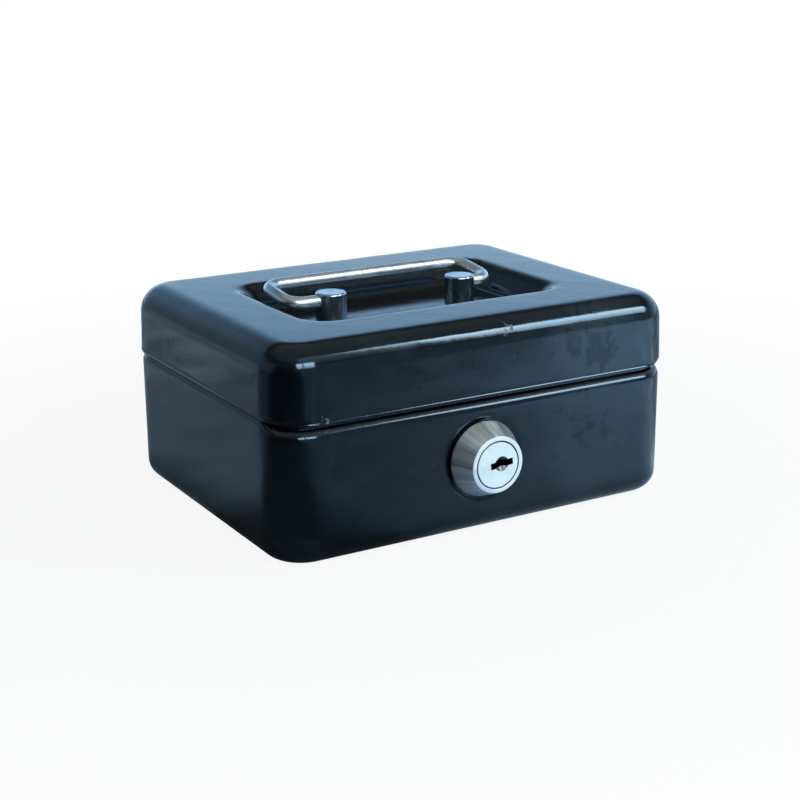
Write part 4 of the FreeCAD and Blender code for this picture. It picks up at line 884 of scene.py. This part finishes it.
wire_line, wire_way = bail_line()
wire_turn = np.linspace(0, 2 * np.pi, WIRE_COLUMNS, endpoint=False)[None, :, None]
wire_radius = np.full((len(wire_line), 1, 1), WIRE_RADIUS)
wire_radius[[0, 1, -2, -1], 0, 0] -= WIRE_TIP_EASE
flat_side = np.stack([-wire_way[:, 1], wire_way[:, 0]], -1)[:, None]
wire_plan = wire_line[:, None] + wire_radius * np.cos(wire_turn) * flat_side
wire_rise = (wire_radius * np.sin(wire_turn))[..., 0]
wire_rings = np.stack([
    BAIL_PIVOT[0] + wire_plan[..., 0],
    BAIL_PIVOT[1] + wire_plan[..., 1] * math.cos(BAIL_TILT) - wire_rise * math.sin(BAIL_TILT),
    BAIL_PIVOT[2] + wire_plan[..., 1] * math.sin(BAIL_TILT) + wire_rise * math.cos(BAIL_TILT)], -1)
bail_wire = ring_mesh("bail_wire", wire_rings, np.zeros(len(wire_rings)), [0, len(wire_rings) - 1])
bail_wire.data.set_sharp_from_angle(angle=math.radians(50))
bail_wire.data.materials.append(plated_finish("wire_chrome", WIRE_BRIGHT, WIRE_SMOKE, WIRE_POLISH))
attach(bail_wire, "handle")
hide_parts("bail_handle")

# Catch: a steel strip folded to a hook for the cam, welded inside the lid's front
# wall and sprayed with it.
finish_nodes(enamel, "lid_catch")

# Coin tray: moulded black plastic with a fine grain, rubbed lighter in random
# patches, scratched, and smoother where handled.
TRAY_DEEP = (0.022, 0.023, 0.026, 1)
TRAY_RUBBED = (0.048, 0.049, 0.052, 1)
TRAY_SCRATCH = (0.12, 0.12, 0.125, 1)
TRAY_POLISH = (0.52, 0.40)
COIN_RUB = (0.45, 0.75)
plastic, tree, shader, place = new_finish("tray_plastic")
marks = handling_marks(tree, place, 60.0, 70.0, 500.0)
coin_rub = ramp(tree, noise(tree, place, 40.0, 5.0), *COIN_RUB)
tray_colour = mixed(tree, coin_rub, TRAY_DEEP, TRAY_RUBBED)
tray_colour = mixed(tree, times(tree, marks["Scratch"], 0.5), tray_colour, TRAY_SCRATCH)
leather = put(tree, "ShaderNodeTexVoronoi", {"Vector": place, "Scale": 950.0}).outputs["Distance"]
fill(tree, shader, {"Base Color": tray_colour, "Roughness": blend_value(tree, marks["Smudge"], *TRAY_POLISH),
                    "Normal": bump(tree, leather, 0.22, 0.00015)})
finish_nodes(plastic, "coin_tray")

# Studio: a pale floor that runs out to white, and that the gloss mirrors in painted
# tones of its own: cool, with painted shade towards the front left, a painted
# shadow of the box beside it and painted lighter patches; a long strip light over
# the front right, a barred window in front, and a room that is pale low down.
WHITE = (1, 1, 1, 1)
PAPER = (0.80, 0.80, 0.80, 1)
FLOOR_SIZE = 8.0
FLOOR_DROP = -0.0003
FLOOR_FADE = (0.10, 0.40, 0.90, 1.0)
FLOOR_COOL = (0.62, 0.89, 1.15, 1)
BOX_FOOT_HALF = (0.0756, 0.059, 0.0)
DARK_SIDE = (-0.84, -0.54, 0.0)
DARK_TONE = (0.70, 0.92, 1.0, 0.14)
BRIGHT_SIDE = (0.863, -0.505, 0.0)
BRIGHT_TONE = (-0.3, 0.3, 0.32, 1.1)
FAR_SIDE = (0.985, 0.17, 0.0)
FAR_SIDE_TONE = (0.80, 0.96, 1.0, 0.30)
LEFT_SIDE = (-1.0, 0.0, 0.0)
LEFT_LIMITS = (0.6, 0.95)
SLANT_SIDE = (0.812, 0.584, 0.0)
SLANT_REACH = (-0.12, 0.035)
SLANT_POWER = 1.6
SLANT_TONE = (0.24, 1.1)
NEAR_GAP = (0.0, 0.03)
NEAR_SHADOW_TONE = (0.55, 0.30)
FAR_GAP = (0.07, 0.16)
FAR_TONE = (1.4, 0.8)
PATCH_LIMITS = (0.34, 0.66, -1.0, 1.0)
PATCH_GAP = (0.08, 0.17, 0.10, 0.50)


def toward(tree, direction, side):
    """How far a direction points to one side, from -1 to 1."""
    return vector_math(tree, "DOT_PRODUCT", direction, side)


corner_x, corner_y = np.meshgrid((-FLOOR_SIZE, FLOOR_SIZE), (-FLOOR_SIZE, FLOOR_SIZE))
floor_mesh = bpy.data.meshes.new("studio_floor")
floor_points = np.stack([corner_x.ravel(), corner_y.ravel(), np.full(4, FLOOR_DROP)], -1)
floor_mesh.from_pydata(floor_points.tolist(), [], [(0, 1, 3, 2)])
studio_floor = bpy.data.objects.new("studio_floor", floor_mesh)
bpy.context.scene.collection.objects.link(studio_floor)
floor_finish = bpy.data.materials.new("floor_paper")
floor_finish.use_nodes = True
tree = floor_finish.node_tree
tree.nodes.clear()
place = tree.nodes.new("ShaderNodeTexCoord").outputs["Object"]
bearing = vector_math(tree, "NORMALIZE", place, out="Vector")
spread = vector_math(tree, "ABSOLUTE", place, out="Vector")
beyond = vector_math(tree, "SUBTRACT", spread, BOX_FOOT_HALF, out="Vector")
gap = vector_math(tree, "LENGTH", vector_math(tree, "MAXIMUM", beyond, (0, 0, 0), out="Vector"))
slant = put(tree, "ShaderNodeMapRange", {0: toward(tree, place, SLANT_SIDE), 1: SLANT_REACH[0], 2: SLANT_REACH[1]})
slant_share = math_node(tree, "POWER", slant.outputs[0], SLANT_POWER)
slant_tone = put(tree, "ShaderNodeMapRange", {0: slant_share, 3: SLANT_TONE[0], 4: SLANT_TONE[1]}).outputs[0]
bright_tone = ramp(tree, toward(tree, bearing, BRIGHT_SIDE), *BRIGHT_TONE)
dark_tone = ramp(tree, toward(tree, bearing, DARK_SIDE), *DARK_TONE)
far_side_tone = ramp(tree, toward(tree, bearing, FAR_SIDE), *FAR_SIDE_TONE)
at_left = ramp(tree, toward(tree, bearing, LEFT_SIDE), *LEFT_LIMITS)
# Painted shadow of the box, seen only in reflections: the floor's tone drops close to the box, more on the left.
near_shadow_tone = ramp(tree, gap, *NEAR_GAP, blend_value(tree, at_left, *NEAR_SHADOW_TONE), 1.0)
far_tone = ramp(tree, gap, *FAR_GAP, 1.0, blend_value(tree, at_left, *FAR_TONE))
uneven = noise(tree, place, 34.0, 4.0, 0.6, 0.8)
patch = times(tree, ramp(tree, uneven, *PATCH_LIMITS), ramp(tree, gap, *PATCH_GAP))
patch_tone = math_node(tree, "ADD", patch, 1.0)
floor_tone = math_node(tree, "MINIMUM", slant_tone, bright_tone)
for part_tone in (dark_tone, far_side_tone, near_shadow_tone, far_tone, patch_tone):
    floor_tone = times(tree, floor_tone, part_tone)
rays = tree.nodes.new("ShaderNodeLightPath").outputs
mirrored = math_node(tree, "MAXIMUM", rays["Is Glossy Ray"], rays["Is Transmission Ray"])
shown = math_node(tree, "MAXIMUM", rays["Is Camera Ray"], mirrored)
fade = ramp(tree, vector_math(tree, "LENGTH", place), *FLOOR_FADE)
paper = put(tree, "ShaderNodeBsdfDiffuse", {"Color": PAPER})
glow = put(tree, "ShaderNodeEmission", {"Color": mixed(tree, mirrored, WHITE, FLOOR_COOL),
                                        "Strength": blend_value(tree, mirrored, 1.0, floor_tone)})
seen = put(tree, "ShaderNodeMixShader", {0: times(tree, fade, shown), 1: paper.outputs[0], 2: glow.outputs[0]})
put(tree, "ShaderNodeOutputMaterial", {"Surface": seen.outputs[0]})
floor_mesh.materials.append(floor_finish)

STRIP_END_FADE = (0.53, 0.61, 0.06, 1.0)
STRIP_END_SLANT = 0.12
STRIP_FAR_FADE = (0.99, 0.75, 0.05, 1.0)
WINDOW_BAR = (0.38, 0.055)
WINDOW_BAR_SHADE = 0.85
PANEL_EDGE_FADE = (0.0, 1.0, 0.55, 1.25)


def strip_ends(tree, across, up):
    """Light of the strip along its length: it fades at both ends, slanting at one."""
    slanted = math_node(tree, "ADD", across, times(tree, up, STRIP_END_SLANT))
    return times(tree, ramp(tree, slanted, *STRIP_END_FADE), ramp(tree, across, *STRIP_FAR_FADE))


def window_bar(tree, across, up):
    """Light of the window along its width: even, but for one upright bar."""
    bar = put(tree, "ShaderNodeMath", {0: across, 1: WINDOW_BAR[0], 2: WINDOW_BAR[1]}, operation="COMPARE")
    return math_node(tree, "SUBTRACT", 1.0, times(tree, bar.outputs[0], WINDOW_BAR_SHADE))


def softbox(name, place, away, size, radiance, colour, panes):
    """Rectangular light at a place, facing against the away direction, given its
    radiance and the function that shades it over the panel's two shares."""
    lamp = bpy.data.lights.new(name, "AREA")
    lamp.shape = "RECTANGLE"
    lamp.size, lamp.size_y = size
    lamp.energy = radiance * math.pi * size[0] * size[1]
    lamp.color = colour
    lamp.use_nodes = True
    tree = lamp.node_tree
    panel = tree.nodes.new("ShaderNodeNewGeometry").outputs["Parametric"]
    spot = put(tree, "ShaderNodeSeparateXYZ", {0: panel}).outputs
    strength = times(tree, panes(tree, spot[0], spot[1]), ramp(tree, spot[1], *PANEL_EDGE_FADE))
    fill(tree, next(n for n in tree.nodes if n.type == "EMISSION"), {"Strength": strength})
    away = np.array(away, float) / np.linalg.norm(away)
    across = np.cross((0, 0, 1), away)
    across /= np.linalg.norm(across)
    stand = Matrix(np.stack([across, np.cross(away, across), away], -1).tolist()).to_4x4()
    stand.translation = place
    holder = bpy.data.objects.new(name, lamp)
    holder.matrix_world = stand
    holder.visible_camera = False
    bpy.context.scene.collection.objects.link(holder)


softbox("front_strip", (0.41, -0.54, 0.62), (0, -0.65, 0.76), (1.3, 0.34), 10.0, (0.78, 0.92, 1.0), strip_ends)
softbox("side_window", (-0.13, -0.84, 0.56), (-0.05, -0.85, 0.53), (0.72, 0.30), 9.0, (0.75, 0.90, 1.0), window_bar)

ROOM_BACK = (0.43, 0.74, 1.10, 1)
ROOM_HORIZON = (0.66, 1.0, 1.33, 1)
ROOM_LEFT = (0.20, 0.29, 0.38, 1)
ROOM_FRONT = (0.22, 0.32, 0.39, 1)
ROOM_SHADE = (0.03, 0.04, 0.05, 1)
ROOM_CEILING = (0.25, 0.27, 0.26, 1)
ROOM_COVING = (0.06, 0.075, 0.09, 1)
BACK_SIDE = (0.2, 0.98, 0.0)
UPWARD = (0.0, 0.0, 1.0)
room = bpy.data.worlds.new("studio_room")
room.use_nodes = True
tree = room.node_tree
tree.nodes.clear()
direction = tree.nodes.new("ShaderNodeTexCoord").outputs["Generated"]
steepness = toward(tree, direction, UPWARD)
backdrop = mixed(tree, ramp(tree, steepness, 0.25, 0.19), ROOM_BACK, ROOM_HORIZON)
backdrop = mixed(tree, ramp(tree, toward(tree, direction, BACK_SIDE), -0.3, 0.4), ROOM_FRONT, backdrop)
backdrop = mixed(tree, ramp(tree, toward(tree, direction, LEFT_SIDE), 0.05, 0.45), backdrop, ROOM_LEFT)
backdrop = mixed(tree, ramp(tree, toward(tree, direction, DARK_SIDE), 0.70, 0.88), backdrop, ROOM_SHADE)
overhead = mixed(tree, ramp(tree, steepness, 0.60, 0.85), ROOM_COVING, ROOM_CEILING)
surround = mixed(tree, ramp(tree, steepness, 0.62, 0.30), overhead, backdrop)
to_camera = tree.nodes.new("ShaderNodeLightPath").outputs["Is Camera Ray"]
air = put(tree, "ShaderNodeBackground", {"Color": mixed(tree, to_camera, surround, WHITE), "Strength": 1.0})
put(tree, "ShaderNodeOutputWorld", {"Surface": air.outputs[0]})
bpy.context.scene.world = room

# Camera: where the photograph was taken from, worked out from the box's edges, with
# the focal length in pixels of a square picture.
CAMERA_PLACE = np.array([-273.926, -470.290, 190.579]) * MM
CAMERA_FORWARD = np.array([0.48395, 0.82773, -0.28401])
CAMERA_ROLL = -0.0083
FOCAL_PIXELS = 1608.52
PICTURE_PIXELS = 800
SENSOR_WIDTH = 36.0
camera_data = bpy.data.cameras.new("camera")
camera_data.sensor_width = SENSOR_WIDTH
camera_data.sensor_fit = "HORIZONTAL"
camera_data.lens = FOCAL_PIXELS / PICTURE_PIXELS * SENSOR_WIDTH
camera = bpy.data.objects.new("camera", camera_data)
level_right = np.cross(CAMERA_FORWARD, UPWARD)
level_right /= np.linalg.norm(level_right)
level_up = np.cross(level_right, CAMERA_FORWARD)
camera_right = math.cos(CAMERA_ROLL) * level_right + math.sin(CAMERA_ROLL) * level_up
camera_up = math.cos(CAMERA_ROLL) * level_up - math.sin(CAMERA_ROLL) * level_right
camera_stand = Matrix(np.stack([camera_right, camera_up, -CAMERA_FORWARD], -1).tolist()).to_4x4()
camera_stand.translation = CAMERA_PLACE.tolist()
camera.matrix_world = camera_stand
bpy.context.scene.collection.objects.link(camera)
bpy.context.scene.camera = camera
bpy.context.scene.view_settings.view_transform = "Standard"
